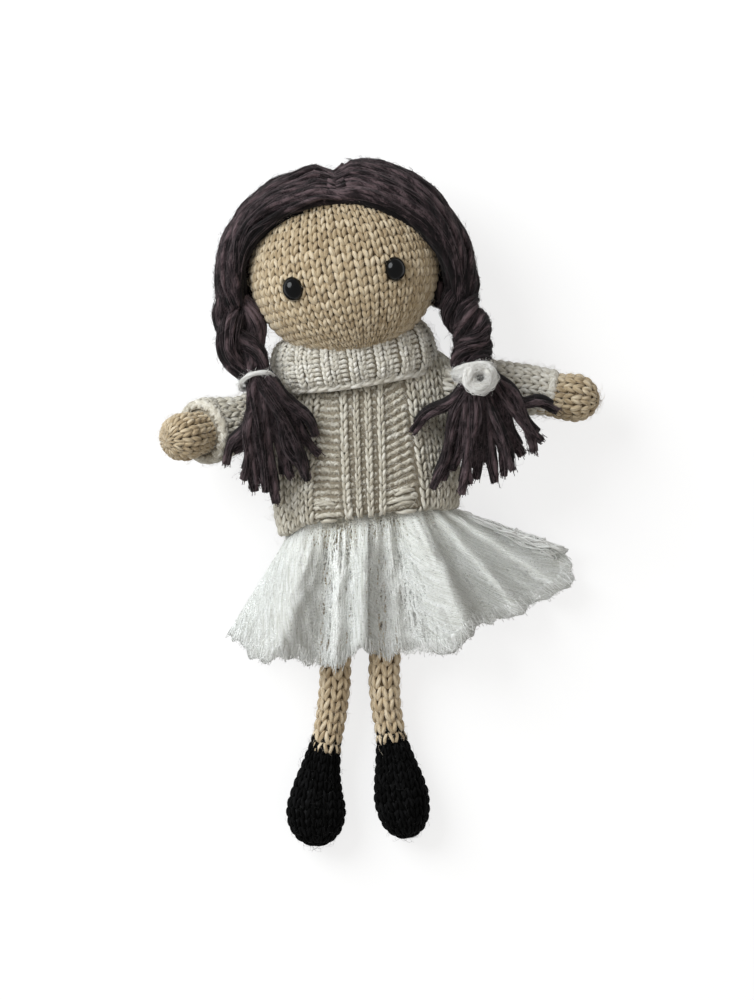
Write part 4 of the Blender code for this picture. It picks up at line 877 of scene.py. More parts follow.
def braid_part(weave, line, m):
    """One of the three parts of the right plait, which pass over each other from side to side."""
    across, normal = line_axes(line)
    t = np.linspace(0, 1, PLAIT_POINTS)
    full = 0.0050 * (1 - 0.45 * smooth((t - 0.60) / 0.38)) * (0.40 + 0.60 * smooth(t * 2.2))
    angle = 2 * pi * (m / 3 + RIGHT_PLAIT_TURNS * t) + 0.9
    aside, out_of_it = np.sin(angle) * full * 1.25, np.sin(2 * angle) * full * 0.35
    offset = across * aside[:, None] + normal * out_of_it[:, None]
    return bundle(weave, line + offset, full * 0.62, 10, PLY, 0.35, m)


def make_plait(side):
    weave = Weave()
    line = plait_line(side)
    part = rope_part if side == "left" else braid_part
    paths = np.concatenate([part(weave, line, m) for m in range(3)])
    # painted shade: a thick near-black tube along the plait's middle, seen between its parts
    weave.tubes(line[None, 4:-4], 0.0024, sides=8, pitch=HAIR_PITCH, kind=1)
    halo(weave, paths, np.full(paths.shape[:2], PLY), 14, 0.00008)
    some = picked(paths, 900, 2)
    outward = unit(some - line[np.abs(some[:, None] - line[None]).sum(-1).argmin(1)])
    hairs(weave, some + outward * PLY * 0.8, outward, 0.0034, HAIR_FIBRE, rise=0.45)
    inside = [side + "_plait_root", side + "_plait"]
    plait = finish(weave, side + "_plait_strands", STRANDS, inside)
    first = np.abs(line - PLAIT_ROOT[side]).sum(1).argmin()
    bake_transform(plait)


TASSEL_ENDS = {          # pixels of the photograph: where each strand passes, and where it ends
    "right": (
        (247, 425, 227, 464), (250, 430, 244, 480), (254, 430, 255, 491), (259, 430, 267, 492),
        (266, 430, 277, 503), (274, 420, 291, 478), (281, 412, 308, 481), (287, 407, 319, 455),
        (287, 399, 316, 436), (262, 415, 258, 484), (272, 425, 284, 474), (279, 420, 300, 466),
        (253, 420, 236, 452), (270, 405, 290, 455),
    ),
    "left": (
        (450, 402, 413, 432), (456, 415, 432, 489), (462, 420, 443, 480), (470, 430, 461, 494),
        (480, 425, 476, 479), (488, 425, 494, 482), (495, 415, 511, 470), (502, 408, 522, 455),
        (509, 403, 533, 452), (512, 398, 541, 441), (517, 402, 556, 412), (474, 420, 468, 484),
        (491, 420, 503, 476), (498, 400, 516, 446), (466, 412, 452, 470), (484, 410, 486, 462),
    ),
}
TASSEL_LIFT = {"right": 0.0355, "left": 0.0352}
TASSEL_POINTS = 18
CUT_ENDS = (0.99, 0.92, 0.66)
THIN_PLY = PLY * 0.92
FRAYS = 34               # fibres that stand out of each cut end


def tassel_paths(side):
    """The strands' lines from the tie to their cut ends; each dips and swerves in its own way."""
    tie = PLAIT_TIE[side]
    paths = []
    for m, row in enumerate(TASSEL_ENDS[side]):
        way, end = row[:2], row[2:]
        z = TASSEL_LIFT[side] + 0.0022 * sin(2.4 * m)
        start = tie + np.array((0.0030 * sin(1.7 * m), 0.0022, 0.0030 * cos(1.7 * m)))
        first = mix(start, at(*way, z + 0.0032), 0.35) + np.array((0, 0, 0.0016))
        along = unit(at(*end) - at(*way))
        swerve = np.array((-along[1], along[0], 0)) * 0.0016 * sin(2.9 * m + 1)
        paths.append(curve([start, first, at(*way, z + 0.0026) + swerve * 0.6,
                            mix(at(*way, z), at(*end, z), 0.55) - swerve, at(*end, z - 0.0020)], TASSEL_POINTS))
    return np.array(paths)


def make_tassel(side):
    weave = Weave()
    paths = tassel_paths(side)
    radii = rough_radius(len(paths), TASSEL_POINTS, STRAND * 0.95, 0.10)
    radii[:, -len(CUT_ENDS):] *= CUT_ENDS
    for strand, size in zip(paths, radii):
        plies = bundle(weave, strand, size * 0.50, 3, THIN_PLY, 0.55, rng.uniform(0, 6), core=False)
        halo(weave, plies, np.full(plies.shape[:2], THIN_PLY), 14, 0.00009)
    # painted shade: near-black strands under the tassel, so that the gaps between its strands look shaded
    under = paths + np.array((0, 0.0015, -0.0034))
    weave.tubes(under[:, :-1], radii[:, :-1] * 1.1, sides=8, pitch=HAIR_PITCH, kind=1)
    some = picked(paths, 1300, 1)
    up = unit(rng.normal(0, 1, some.shape) + np.array((0, 0, 1.2)))
    hairs(weave, some + up * STRAND * 0.9, up, 0.0045, HAIR_FIBRE, rise=0.35)
    count = len(paths) * FRAYS
    ends = paths[:, -2].repeat(FRAYS, 0) + rng.normal(0, STRAND * 0.42, (count, 3))
    ways = unit(unit(paths[:, -1] - paths[:, -3]).repeat(FRAYS, 0) + rng.normal(0, 0.16, (count, 3)))
    t = np.linspace(0, 1, 4)[None, :, None]
    frays = ends[:, None] + ways[:, None] * t * rng.uniform(0.0010, 0.0030, (count, 1, 1))
    weave.tubes(frays, 0.00012, sides=4, kind=2)
    finish(weave, side + "_tassel_strands", STRANDS, [side + "_tassel"], body=side + "_plait_length")


# Ties: white yarn wound round each plait; the left one is also tied in a thick round loop

TIE_YARN = {"left": 0.0009, "right": 0.0006}        # radius of the yarn
TIE_TURNS = {"left": (0.0, 0.0014), "right": (0.0,)}
TIE_RADIUS = {"left": 0.0066, "right": 0.0062}      # of the turns round the plait
TIE_PITCH = 0.006
LOOP_PIXEL, LOOP_HEIGHT = (479, 379), 0.0085
LOOP_END_PIXELS = ((464, 377, 0.0075), (459, 381, 0.006))        # with the height over the tie
LOOP_SIZES, LOOP_YARNS = (0.0041, 0.0034), (0.0018, 0.0015)
LOOP_POINTS, TURN_POINTS = 44, 40


def loop(weave, points, radius, count):
    """A closed ring of yarn through a few points, its ends run into each other."""
    points = np.asarray(points, float)
    line = curve(np.concatenate((points, points[:2])), count)
    weave.tubes(line[None], radius, sides=8, pitch=TIE_PITCH)
    return line


def make_tie(side):
    weave = Weave()
    tie = PLAIT_TIE[side]
    down = unit(tie - PLAIT_ROOT[side])
    across = unit(np.cross(down, (0, 0, 1.0)))
    up = np.cross(across, down)
    yarn = TIE_YARN[side]
    turn = round_angles(12)
    dip = 0.0024 * np.maximum(np.sin(turn), 0) - 0.0018 if side == "right" else 0.0006 * np.cos(turn)
    ring = around(turn, across, up * 0.95) * TIE_RADIUS[side]
    wound = []
    for shift in TIE_TURNS[side]:
        points = tie + LOW_PLAIT_SHIFT[side] * 0.7 - down * (0.0004 + shift + dip)[:, None] + ring
        wound.append((loop(weave, points, yarn, TURN_POINTS), yarn))
    if side == "left":
        centre = at(*LOOP_PIXEL, tie[2] + LOOP_HEIGHT)
        for m, (size, thick) in enumerate(zip(LOOP_SIZES, LOOP_YARNS)):
            turn = round_angles(10)
            high = 0.0012 * m + 0.0004 * np.sin(3 * turn)
            points = centre + np.stack((np.cos(turn) * size * 1.05, np.sin(turn) * size * 0.95, high), -1)
            wound.append((loop(weave, points, thick, LOOP_POINTS), 0.0016))
        end = [at(x, y, tie[2] + z) for x, y, z in LOOP_END_PIXELS]
        line = curve([centre + np.array((-0.0030, 0.0010, 0.0))] + end, 12)
        weave.tubes(line[None], 0.0006, sides=8, pitch=TIE_PITCH)
        wound.append((line, yarn))
    for line, size in wound:
        halo(weave, line[None], np.full((1, len(line)), size), 240, 0.00010, 1.08, 0.2, 1)
        pick = line[rng.integers(0, len(line), 300)]
        outward = unit(rng.normal(0, 1, (300, 3)) + np.array((0, 0, 0.8)))
        hairs(weave, pick + outward * size * 0.9, outward, 0.0024, 0.00005, 1, 0.45)
    finish(weave, side + "_plait_tie_yarn", [WHITE, WHITE_FLUFF], [side + "_plait_tie"],
           body=side + "_plait_length")


# Jumper

WOOL = 0.00072           # radius of the cream yarn
RING_POINTS = 64
FLOOR_GAP = 0.0009       # least height of a skin over the floor, which leaves room for its yarn


def torso_point(share, angle, inset=0.0):
    """Where the jumper's surface lies at a height and an angle, moved inwards."""
    table = np.array(TORSO_SHARES)
    width, depth, slant = (np.interp(share, table[:, 0], table[:, c]) for c in (1, 2, 3))
    x = (TORSO_HALF_WIDTH * width - inset) * np.cos(angle)
    z = TORSO_Z + (TORSO_HALF_DEPTH * depth - inset) * np.sin(angle)
    y = TORSO_BOTTOM_Y + TORSO_LENGTH * share + x * tan(SLANT * slant)
    return np.stack((mix(WAIST_X, NECK_X, share) + x, y, np.maximum(z, FLOOR_GAP)), -1)


def torso_ring(share, inset=0.0):
    return torso_point(share, round_angles(RING_POINTS), inset)


# The front's columns, from the doll's right to its left: kind, and where each begins at the collar and at the hem
FRONT_COLUMNS = (
    ("k", 276, 279), ("k", 284, 286), ("k", 292, 292), ("k", 301, 298), ("K", 310, 304), ("p", 320, 313),
    ("p", 327, 323), ("p", 333, 333), ("K", 340, 343), ("q", 347, 351), ("K", 353, 356), ("q", 359, 362),
    ("K", 364, 367), ("q", 371, 374), ("K", 377, 379), ("p", 384, 386), ("p", 391, 397), ("p", 398, 408),
    ("K", 405, 420), ("k", 414, 430), ("k", 422, 437), ("k", 430, 443), ("k", 438, 449),
)
FRONT_END = (446, 455)
COLUMN_KINDS = "".join(column[0] for column in FRONT_COLUMNS)[::-1]
BACK_COLUMNS = 27
COLLAR_PIXEL_Y, HEM_PIXEL_Y = 400, 505
JUMPER_ROWS = 20
HEM_DRAWN_UP = 0.0034
FLOAT_ROWS, FLOAT_COLUMNS, FLOAT_POINTS = (0.7, 1.5, 2.2, 3.1), 3, 12
JUMPER_INSET = WOOL * 0.6
# Rings of the jumper: share of its height, inset, and how much lower
HEM_RINGS = [(HEM_SHARE, 0.0030, -0.0012), (HEM_SHARE, 0.0018, 0.0001), (HEM_SHARE, JUMPER_INSET + 0.0002, 0.0001)]
LINING_RINGS = [(0.25, 0.0034, 0.0), (0.19, 0.0034, 0.0)]
TOP_RINGS = [(1.0, 0.006, 0.0), (1.0, 0.012, 0.0)]


def column_edges():
    """The columns' limits round the body, from its left side over the front to its right side and the back."""
    shares = [(at(0, y)[1] - TORSO_BOTTOM_Y) / TORSO_LENGTH for y in (COLLAR_PIXEL_Y, HEM_PIXEL_Y)]
    ends = []
    for which, share in enumerate(shares):
        x = torso_ring(share)[:, 0]
        middle, half = (x.max() + x.min()) / 2, np.ptp(x) / 2
        pixels = np.array([column[which + 1] for column in FRONT_COLUMNS] + [FRONT_END[which]])
        x = (pixels[::-1] - ORIGIN_PIXEL[0]) * PIXEL
        front = np.arccos(np.clip((x - middle) / half, -0.985, 0.985)) / (2 * pi)
        back = np.linspace(front[-1], front[0] + 1, BACK_COLUMNS + 1)[1:]
        ends.append(np.concatenate((front, back)))
    high, low = ends
    top, bottom = shares
    slope = (high - low) / (top - bottom)
    return low + slope * (HEM_SHARE - bottom), low + slope * (1 - bottom)
def row_rise(u, v):
    """The rows dip at the middle of the front and rise to each side of it, away from the hem."""
    x = np.cos(2 * pi * u)
    front = smooth(np.sin(2 * pi * u) * 4)
    rise = 0.055 * smooth((x - 0.18) / 0.35) + 0.035 * smooth((-0.25 - x) / 0.3)
    return rise * front * smooth(v / 0.3)


def jumper_ring(share, inset, lower):
    """A ring of the jumper, whose hem is drawn up a little over the middle of the skirt."""
    angle = round_angles(RING_POINTS)
    ring = torso_point(share, angle, inset)
    x = np.cos(angle)
    drawn = smooth((0.97 - np.abs(x + 0.02)) / 0.30) * (0.7 - 0.3 * x) * smooth(np.sin(angle) * 3)
    ring[:, 1] += HEM_DRAWN_UP * drawn * smooth(1 - (share - HEM_SHARE) / 0.3) - lower
    return ring


def hem_floats(weave, skin, edges):
    """Long loose loops across the purl columns, just above the hem."""
    low, high = edges
    s = np.linspace(0, 1, FLOAT_POINTS)
    for first in (COLUMN_KINDS.index("ppp"), COLUMN_KINDS.rindex("ppp")):
        for row in FLOAT_ROWS:
            v = (row + rng.normal(0, 0.15)) / JUMPER_ROWS
            start, end = (mix(low[i], high[i], v) for i in (first, first + FLOAT_COLUMNS))
            reach = rng.uniform(0.45, 0.95)
            u = mix(start, end, 0.5 + (s - 0.5) * reach + rng.normal(0, 0.08))
            vs = v + 0.012 * np.sin(pi * s) + rng.normal(0, 0.004) + row_rise(u, v)
            normals = skin.normal(u, vs)
            points = skin.point(u, vs) + normals * (WOOL * (0.6 + 0.9 * np.sin(pi * s)))[:, None]
            width = WOOL * 1.1 * np.sin(pi * (0.08 + 0.84 * s)) ** 0.5
            weave.tubes(points[None], width[None], normals[None], pitch=YARN_PITCH * WOOL)


def make_jumper():
    shares = np.concatenate((np.linspace(HEM_SHARE, 0.9, 16)[1:], (0.93, 0.96, 0.98, 1.0)))
    seen = HEM_RINGS + [(share, JUMPER_INSET, 0.0) for share in shares]
    skin = Skin([jumper_ring(*row) for row in seen])
    weave = Weave()
    weave.skin(Skin([jumper_ring(*row) for row in LINING_RINGS + seen + TOP_RINGS]), RING_POINTS, 64)
    edges = column_edges()
    stitches(weave, skin, edges, JUMPER_ROWS, WOOL, COLUMN_KINDS + "k" * BACK_COLUMNS, raise_row=row_rise,
             lean=0.26, loose=1.5)
    hem_floats(weave, skin, edges)
    fluff(weave, skin, "jumper", WOOL, (0.02, 0.95))
    # painted shade: the jumper's body takes the darker copy of the cream yarn
    finish(weave, "jumper_knitting", SHADED_CREAM_KNIT, ["jumper_body"], body="torso")


# Roll neck

COLLAR_TILT = 0.0012     # how much further the fold hangs down on its left than in the middle
COLLAR_COLUMNS, COLLAR_ROWS, CAST_OFF_LOOPS = 54, 18, 40


def collar_ring(fold):
    """A ring at an angle round the fold: outside, over the top and down inside."""
    turn = round_angles(RING_POINTS)
    c, s = cos(SLANT), sin(SLANT)
    beyond = COLLAR_THICKNESS / 2 * (1 + cos(fold)) - COLLAR_THICKNESS
    height = COLLAR_HEIGHT / 2 + COLLAR_TILT * np.cos(turn) * (sin(fold) < 0)
    rise = height * np.sign(sin(fold)) * abs(sin(fold)) ** 0.75
    wavy = 0.0008 * np.sin(3 * turn + 0.6)
    x = (COLLAR_HALF_WIDTH + beyond - 0.0012 * sin(fold) + wavy) * np.cos(turn)
    y = rise + 0.0010 * np.sin(2 * turn + 1.0)
    z = (COLLAR_HALF_DEPTH + beyond * 0.8 + wavy) * np.sin(turn)
    ring = np.stack((x * c - y * s, x * s + y * c, np.maximum(z + COLLAR_PLACE[2], 0.001)), -1)
    return ring + COLLAR_PLACE * (1, 1, 0)


def make_collar():
    """The roll neck, folded over: ribs run up its outside, over the fold and down inside."""
    skin = Skin([collar_ring(fold) for fold in np.radians(np.linspace(-150, 170, 29))])
    weave = Weave()
    weave.skin(skin, RING_POINTS, 40, closed=False)
    stitches(weave, skin, even_edges(COLLAR_COLUMNS), COLLAR_ROWS, WOOL, "kKp", span=(0.06, 0.98),
             lean=0.26, loose=1.8)
    chain(weave, skin, 0.17, CAST_OFF_LOOPS, WOOL * 1.3, 1.9, 0.02, 2.0)
    fluff(weave, skin, "collar", WOOL, (0.1, 0.9))
    finish(weave, "roll_neck_knitting", CREAM_KNIT, ["roll_collar"], body="torso")


# Limbs

TUBE_POINTS = 32
LIMB_STEPS, SLEEVE_STEPS = 40, 26
DOME_ANGLES = np.radians((0, 25, 45, 62, 75, 84))


def tube_skin(points, radii, depth_share=1.0, steps=LIMB_STEPS):
    """A skin round a bent line; radii are (share of the way, radius), and its depth is a share of its width."""
    line = curve(points, steps)
    across, normal = line_axes(line)
    table = np.array(radii)
    size = np.interp(np.linspace(0, 1, steps), table[:, 0], table[:, 1])[:, None, None]
    rings = line[:, None] + around(round_angles(TUBE_POINTS), across[:, None] * size,
                                   normal[:, None] * size * depth_share)
    rings[:, :, 2] = np.maximum(rings[:, :, 2], FLOOR_GAP)
    return Skin(rings)


def dome(start, radius):
    """Pairs of share and radius for a round end from this share of the way to the end."""
    return [(mix(start, 1, sin(a)), radius * cos(a)) for a in DOME_ANGLES]


def arm_points(side):
    return PIVOT[side + "_shoulder_lift"], PIVOT[side + "_elbow_bend"], np.array(HAND_TIP[side])


SLEEVES = {
    "left": dict(past_elbow=0.0110, before_shoulder=0.0080, radii=(0.0060, 0.0088), cuff=0.0075, shift=0.0009,
                 columns=15, edge_yarn=1.3, knit=CREAM_KNIT),
    # painted shade: the right sleeve takes the darker copy of the cream yarn
    "right": dict(past_elbow=0.0054, before_shoulder=0.0105, radii=(0.0104, 0.0096), cuff=0.0108, shift=0.0,
                  columns=18, edge_yarn=1.6, knit=SHADED_CREAM_KNIT),
}
SLEEVE_ROW, SLEEVE_THICKNESS = 0.0032, 0.0012
SEAM_SHIFT = np.array((0, 0.0012, -0.0040))  # from the line of the arm to where the sleeve meets the jumper


def make_sleeve(side):
    shoulder, elbow, tip = arm_points(side)
    own = SLEEVES[side]
    along = unit(tip - elbow)
    inner = shoulder - unit(elbow - shoulder) * own["before_shoulder"] + SEAM_SHIFT
    shift = np.array((0, own["shift"], 0))
    points = [inner, shoulder, mix(shoulder, elbow, 0.7) + shift * 0.5, elbow + shift,
              elbow + along * own["past_elbow"] + shift]
    first, second = own["radii"]
    full = own["cuff"] - JUMPER_INSET
    table = [(0, first), (0.30, second), (0.6, 0.0082), (0.90, full), (0.955, full * 0.99), (1, full * 0.80)]
    skin = tube_skin(points, table, steps=SLEEVE_STEPS)
    lining = tube_skin(points, [(s, r - SLEEVE_THICKNESS) for s, r in table], steps=SLEEVE_STEPS)
    weave = Weave()
    weave.skin(skin, TUBE_POINTS, SLEEVE_STEPS, closed=False)
    weave.skin(lining, TUBE_POINTS, SLEEVE_STEPS, closed=False)
    columns = own["columns"]
    rows = round(skin.length / SLEEVE_ROW)
    stitches(weave, skin, even_edges(columns), rows, WOOL * 1.25, span=(0, 0.99), lean=0.28)
    chain(weave, skin, 0.95, columns, WOOL * own["edge_yarn"], 1.8, 0.02, 0.5)
    fluff(weave, skin, "sleeve", WOOL, (0.3, 1.0))
    sleeve = finish(weave, side + "_sleeve_knitting", own["knit"], [side + "_sleeve"])
    bend_over(sleeve)


ARM_COLUMNS, ARM_ROW, HAND_RADIUS = 12, 0.0031, 0.0081


def make_arm(side):
    """Upper arm, forearm and hand: one stuffed tube that ends in a round hand."""
    shoulder, elbow, tip = arm_points(side)
    upper, fore = np.linalg.norm(elbow - shoulder), np.linalg.norm(tip - elbow)
    total = upper + fore
    table = [(0, 0.0050), (upper / total, 0.0058), ((upper + fore * 0.36) / total, 0.0062)]
    table += [(s, r - YARN) for s, r in dome((total - HAND_RADIUS) / total, HAND_RADIUS)]
    skin = tube_skin([shoulder, mix(shoulder, elbow, 0.6), elbow, mix(elbow, tip, 0.5), tip], table)
    weave = Weave()
    weave.skin(skin, TUBE_POINTS, LIMB_STEPS)
    stitches(weave, skin, even_edges(ARM_COLUMNS, 0.02), round(skin.length / ARM_ROW), YARN)
    fluff(weave, skin, "arm", YARN, (0.6, 1.0))
    inside = [side + "_upper_arm", side + "_forearm"]
    arm = finish(weave, side + "_arm_knitting", TAN_KNIT, inside)
    bend_over(arm)


LEG_COLUMNS, LEG_ROW, LEG_YARN = 7, 0.0040, 0.00105
LEG_RADII = ((0, 0.0049), (0.06, 0.0047), (0.3, 0.0049), (0.52, 0.0050), (0.9, 0.0062), (1.0, 0.0040))
LEG_CUT = 0.32           # share of the way from the ankle to the hip where the leg's two pieces meet
LEG_BOW = 0.0009         # how far the lower leg bows inwards


def make_leg(side):
    """The leg is one tube of knitting; it is two pieces, because it crosses the knee and the ankle."""
    hip, knee, ankle = (PIVOT[side + end] for end in ("_hip_flex", "_knee_bend", "_ankle_bend"))
    past = ankle + unit(np.array(TOE[side]) - ankle) * 0.0035
    aside = np.array((-LEG_BOW * SIDES[side], 0, 0))
    points = [past, ankle, mix(ankle, knee, 0.35) + aside, mix(ankle, knee, 0.7) + aside, knee,
              mix(knee, hip, 0.5), hip]
    reach = np.linalg.norm(np.diff(curve(points, 60), axis=0), axis=1).sum()
    rows = round(reach / LEG_ROW)
    below = round(rows * LEG_CUT)
    skin = tube_skin(points, [(s, r - LEG_YARN * 0.85) for s, r in LEG_RADII])
    edges = even_edges(LEG_COLUMNS, 0.25 + 0.30 / LEG_COLUMNS)
    for name, count, span, bone, joint, before, after in (
            ("_lower", below, (0.0, below / rows), "_shin", ankle, "_lower_leg", "_foot"),
            ("_upper", rows - below, (below / rows, 1.0), "_thigh", knee, "_leg", "_lower_leg")):
        weave = Weave()
        weave.skin(skin, TUBE_POINTS, 20, span=span)
        stitches(weave, skin, edges, count, LEG_YARN, span=span, lean=0.26, loose=0.7)
        fluff(weave, skin, "leg", LEG_YARN, span)
        leg = finish(weave, side + name + "_leg_knitting", (LIT_LEG_TAN, TAN_SHADE_GROUND, TAN_FLUFF),
                     [side + bone])
        bend_over(leg)


SHOE_SHARES = {          # share of the way to the toe, half width
    "left": ((0.0, 0.50), (0.12, 0.57), (0.32, 0.74), (0.50, 0.92), (0.62, 1.0)),
    "right": ((0.0, 0.50), (0.12, 0.55), (0.32, 0.68), (0.50, 0.84), (0.62, 0.96)),
}
SHOE_ASIDE = {"left": 0.0, "right": -0.0015}
SHOE_COLUMNS, SHOE_ROW, SHOE_YARN = 15, 0.0030, 0.00075


def make_shoe(side):
    ankle, toe = PIVOT[side + "_ankle_bend"], np.array(TOE[side])
    width = SHOE_HALF_WIDTH[side]
    start = ankle - unit(toe - ankle) * 0.0026
    middle = mix(start, toe, 0.5) + np.array((SHOE_ASIDE[side], 0, 0))
    table = [(s, width * r - SHOE_YARN) for s, r in SHOE_SHARES[side]]
    table += [(s, r * width - SHOE_YARN * cos(a)) for (s, r), a in zip(dome(0.70, 1.0), DOME_ANGLES)]
    skin = tube_skin([start, middle, toe], table, SHOE_DEPTH_SHARE[side])
    weave = Weave()
    weave.skin(skin, TUBE_POINTS, LIMB_STEPS)
    rows = round(np.linalg.norm(toe - start) / SHOE_ROW)
    stitches(weave, skin, even_edges(SHOE_COLUMNS, 0.25), rows, SHOE_YARN, lean=0.26)
    fluff(weave, skin, "shoe", SHOE_YARN, (0.05, 1.0))
    knit = BLACK, BLACK_GROUND, BLACK_FLUFF
    finish(weave, side + "_shoe_knitting", knit, [side + "_shoe"], side + "_foot")


# Body bag under the jumper, seen only from below

BAG_INSET = 0.0066


def make_body_bag():
    rings = [torso_ring(s, BAG_INSET) for s in np.linspace(0.0, 0.9, 12)]
    middle = rings[0].mean(0)
    closing = [middle + (rings[0] - middle) * k + np.array((0, -0.0003, 0)) for k in (0.1, 0.5, 0.85)]
    skin = Skin(closing + rings)
    weave = Weave()
    weave.skin(skin, 48, 30)
    stitches(weave, skin, even_edges(36), 18, YARN * 0.8, span=(0, 0.5))
    finish(weave, "body_bag_knitting", [TAN, TAN_SHADE_GROUND], ["body_knit"], "torso")


# Skirt

SKIRT_X, SKIRT_Y, SKIRT_HALF_WIDTH = 0.0065, -0.0315, 0.0600
SKIRT_SLANT, SKIRT_MIDDLE_DROP = radians(13.6), 0.0215
SKIRT_BACK_Z, SKIRT_FRONT_Z = 0.0022, 0.0225
SKIRT_PUFF, SKIRT_FOLD_DEPTH = 0.0027, 0.0030
SKIRT_INSET = 0.0031
SKIRT_FOLD_SHARES = (    # way round the waist, hem across, hem's drop, hem's height, fold out or in, openness
    (0.000, 0.986, -0.03, 0.36, 0.5, 0.1), (0.042, 1.040, 0.37, 0.14, -0.3, 0.2),
    (0.064, 0.963, 0.64, 0.53, 0.7, 0.1), (0.084, 0.863, 0.77, 0.24, -0.8, 0.3),
    (0.103, 0.723, 0.84, 0.73, 0.8, 0.1), (0.125, 0.560, 0.885, 0.45, -0.8, 0.4),
    (0.146, 0.470, 0.975, 1.14, 0.7, 0.1), (0.168, 0.380, 1.09, 1.22, 1.0, 0.0),
    (0.184, 0.240, 1.18, 0.98, 0.3, 0.3), (0.197, 0.099, 1.12, 0.74, -0.6, 0.9),
    (0.212, 0.006, 1.09, 0.80, -0.2, 0.9), (0.230, -0.076, 1.00, 0.80, -0.6, 0.9),
    (0.259, -0.204, 0.85, 1.15, 1.0, 0.0), (0.286, -0.280, 0.88, 0.84, -0.4, 0.7),
    (0.306, -0.368, 1.05, 0.94, 0.2, 1.0), (0.332, -0.461, 0.92, 0.84, -0.7, 0.7),
    (0.356, -0.566, 0.72, 1.05, 0.3, 0.3), (0.386, -0.706, 0.66, 1.30, 1.0, 0.0),
    (0.420, -0.858, 0.47, 1.10, 0.7, 0.0), (0.446, -0.963, 0.17, 0.55, 0.2, 0.1),
    (0.467, -0.986, 0.00, 0.20, 0.0, 0.1), (0.520, -0.893, 0.19, 0.00, 0.0, 0.3),
    (0.560, -0.741, 0.45, 0.25, 0.0, 0.2), (0.600, -0.566, 0.65, 0.00, 0.0, 0.4),
    (0.650, -0.390, 0.77, 0.00, 0.0, 0.4), (0.700, -0.204, 0.78, 0.10, 0.0, 0.3),
    (0.745, -0.012, 0.94, 0.00, 0.0, 0.4), (0.790, 0.193, 1.00, 0.25, 0.0, 0.2),
    (0.840, 0.397, 0.86, 0.00, 0.0, 0.4), (0.885, 0.600, 0.71, 0.25, 0.0, 0.2),
    (0.930, 0.805, 0.55, 0.00, 0.0, 0.4), (0.970, 0.951, 0.29, 0.10, 0.0, 0.2),
)
SKIRT_POINTS, SKIRT_ROWS = 560, 40
HALVES = {"left": (-0.184, 0.366), "right": (0.366, 0.816)}      # shares of the way round, by the table's rows
GATHERED_SHARE = 0.55    # width of the weave at the waist, of its width at the hem
TUCKED_SHARE = 0.12      # of the way down that lies under the jumper
SKIRT_LENGTH = 0.047
GAUZE_THREAD = 0.00105   # from thread to thread of the weave


def fold_shares(u):
    """The table's row at u, smooth and closed round; the way round the waist goes on rising from lap to lap."""
    table = np.array(SKIRT_FOLD_SHARES)
    place = u * len(table)
    i = np.floor(place).astype(int)
    weights = spline_weights(place - i)
    total = 0
    for a in range(4):
        lap, row = np.divmod(i + a - 1, len(table))
        value = table[row].copy()
        value[..., 0] += lap
        total = total + weights[a][..., None] * value
    return np.moveaxis(total, -1, 0)


def skirt_point(u, v):
    """The gauze at a share of the way round and of the way down from the waist."""
    turn, across, drop, height, fold, _ = fold_shares(u)
    angle = 2 * pi * turn
    front = np.maximum(np.sin(angle), 0)
    waist, jumper_hem = (torso_point(share, angle, SKIRT_INSET) for share in (TUCK_SHARE, HEM_SHARE))
    top = mix(waist, jumper_hem, np.clip(v / TUCKED_SHARE, 0, 1)[..., None])
    t = np.clip((v - TUCKED_SHARE) / (1 - TUCKED_SHARE), 0, 1)
    sideways = SKIRT_HALF_WIDTH * across
    hem = np.stack((SKIRT_X + sideways, SKIRT_Y + sideways * tan(SKIRT_SLANT) - SKIRT_MIDDLE_DROP * drop,
                    mix(SKIRT_BACK_Z, SKIRT_FRONT_Z, height)), -1)
    point = mix(top, hem, t[..., None])
    point[..., 2] += (SKIRT_PUFF * height + SKIRT_FOLD_DEPTH * fold) * np.sqrt(np.sin(pi * t))
    near = np.exp(-((t - 0.12) / 0.16) ** 2) * smooth(t * 12)
    gathers = np.sin(2 * pi * turn * 58 + 2 * np.sin(2 * pi * turn * 7)) * 0.00075 * near
    crinkle = (np.sin(angle * 21 + 9 * t + 2 * np.sin(angle * 5)) * np.sin(13 * t + angle * 9) * 0.00065
               + np.sin(angle * 37 + 4 * np.sin(7 * t)) * 0.00040) * smooth(t * 3)
    point[..., 2] += gathers * (0.25 + 0.75 * front) + crinkle * (0.35 + 0.65 * front)
    edge = 0.0011 * np.sin(angle * 17 + 2) * t ** 3 + 0.0007 * np.sin(angle * 41) * t ** 4
    point[..., :2] += (unit(hem - top) * edge[..., None])[..., :2]
    point[..., 2] = np.maximum(point[..., 2], FLOOR_GAP)
    return point


def skirt_normal(u, v):
    round_it = skirt_point(u + 0.002, v) - skirt_point(u - 0.002, v)
    down_it = skirt_point(u, np.minimum(v + 0.02, 1)) - skirt_point(u, np.maximum(v - 0.02, 0))
    return unit(np.cross(down_it, round_it))


def ragged(u):
    """How far down the raw edge reaches, as it frays unevenly."""
    fray = 1 + np.sin(61 * 2 * pi * u + 3 * np.sin(19 * u))
    return 1 - 0.009 * fray * (0.6 + 0.4 * np.sin(7 * 2 * pi * u + 1))


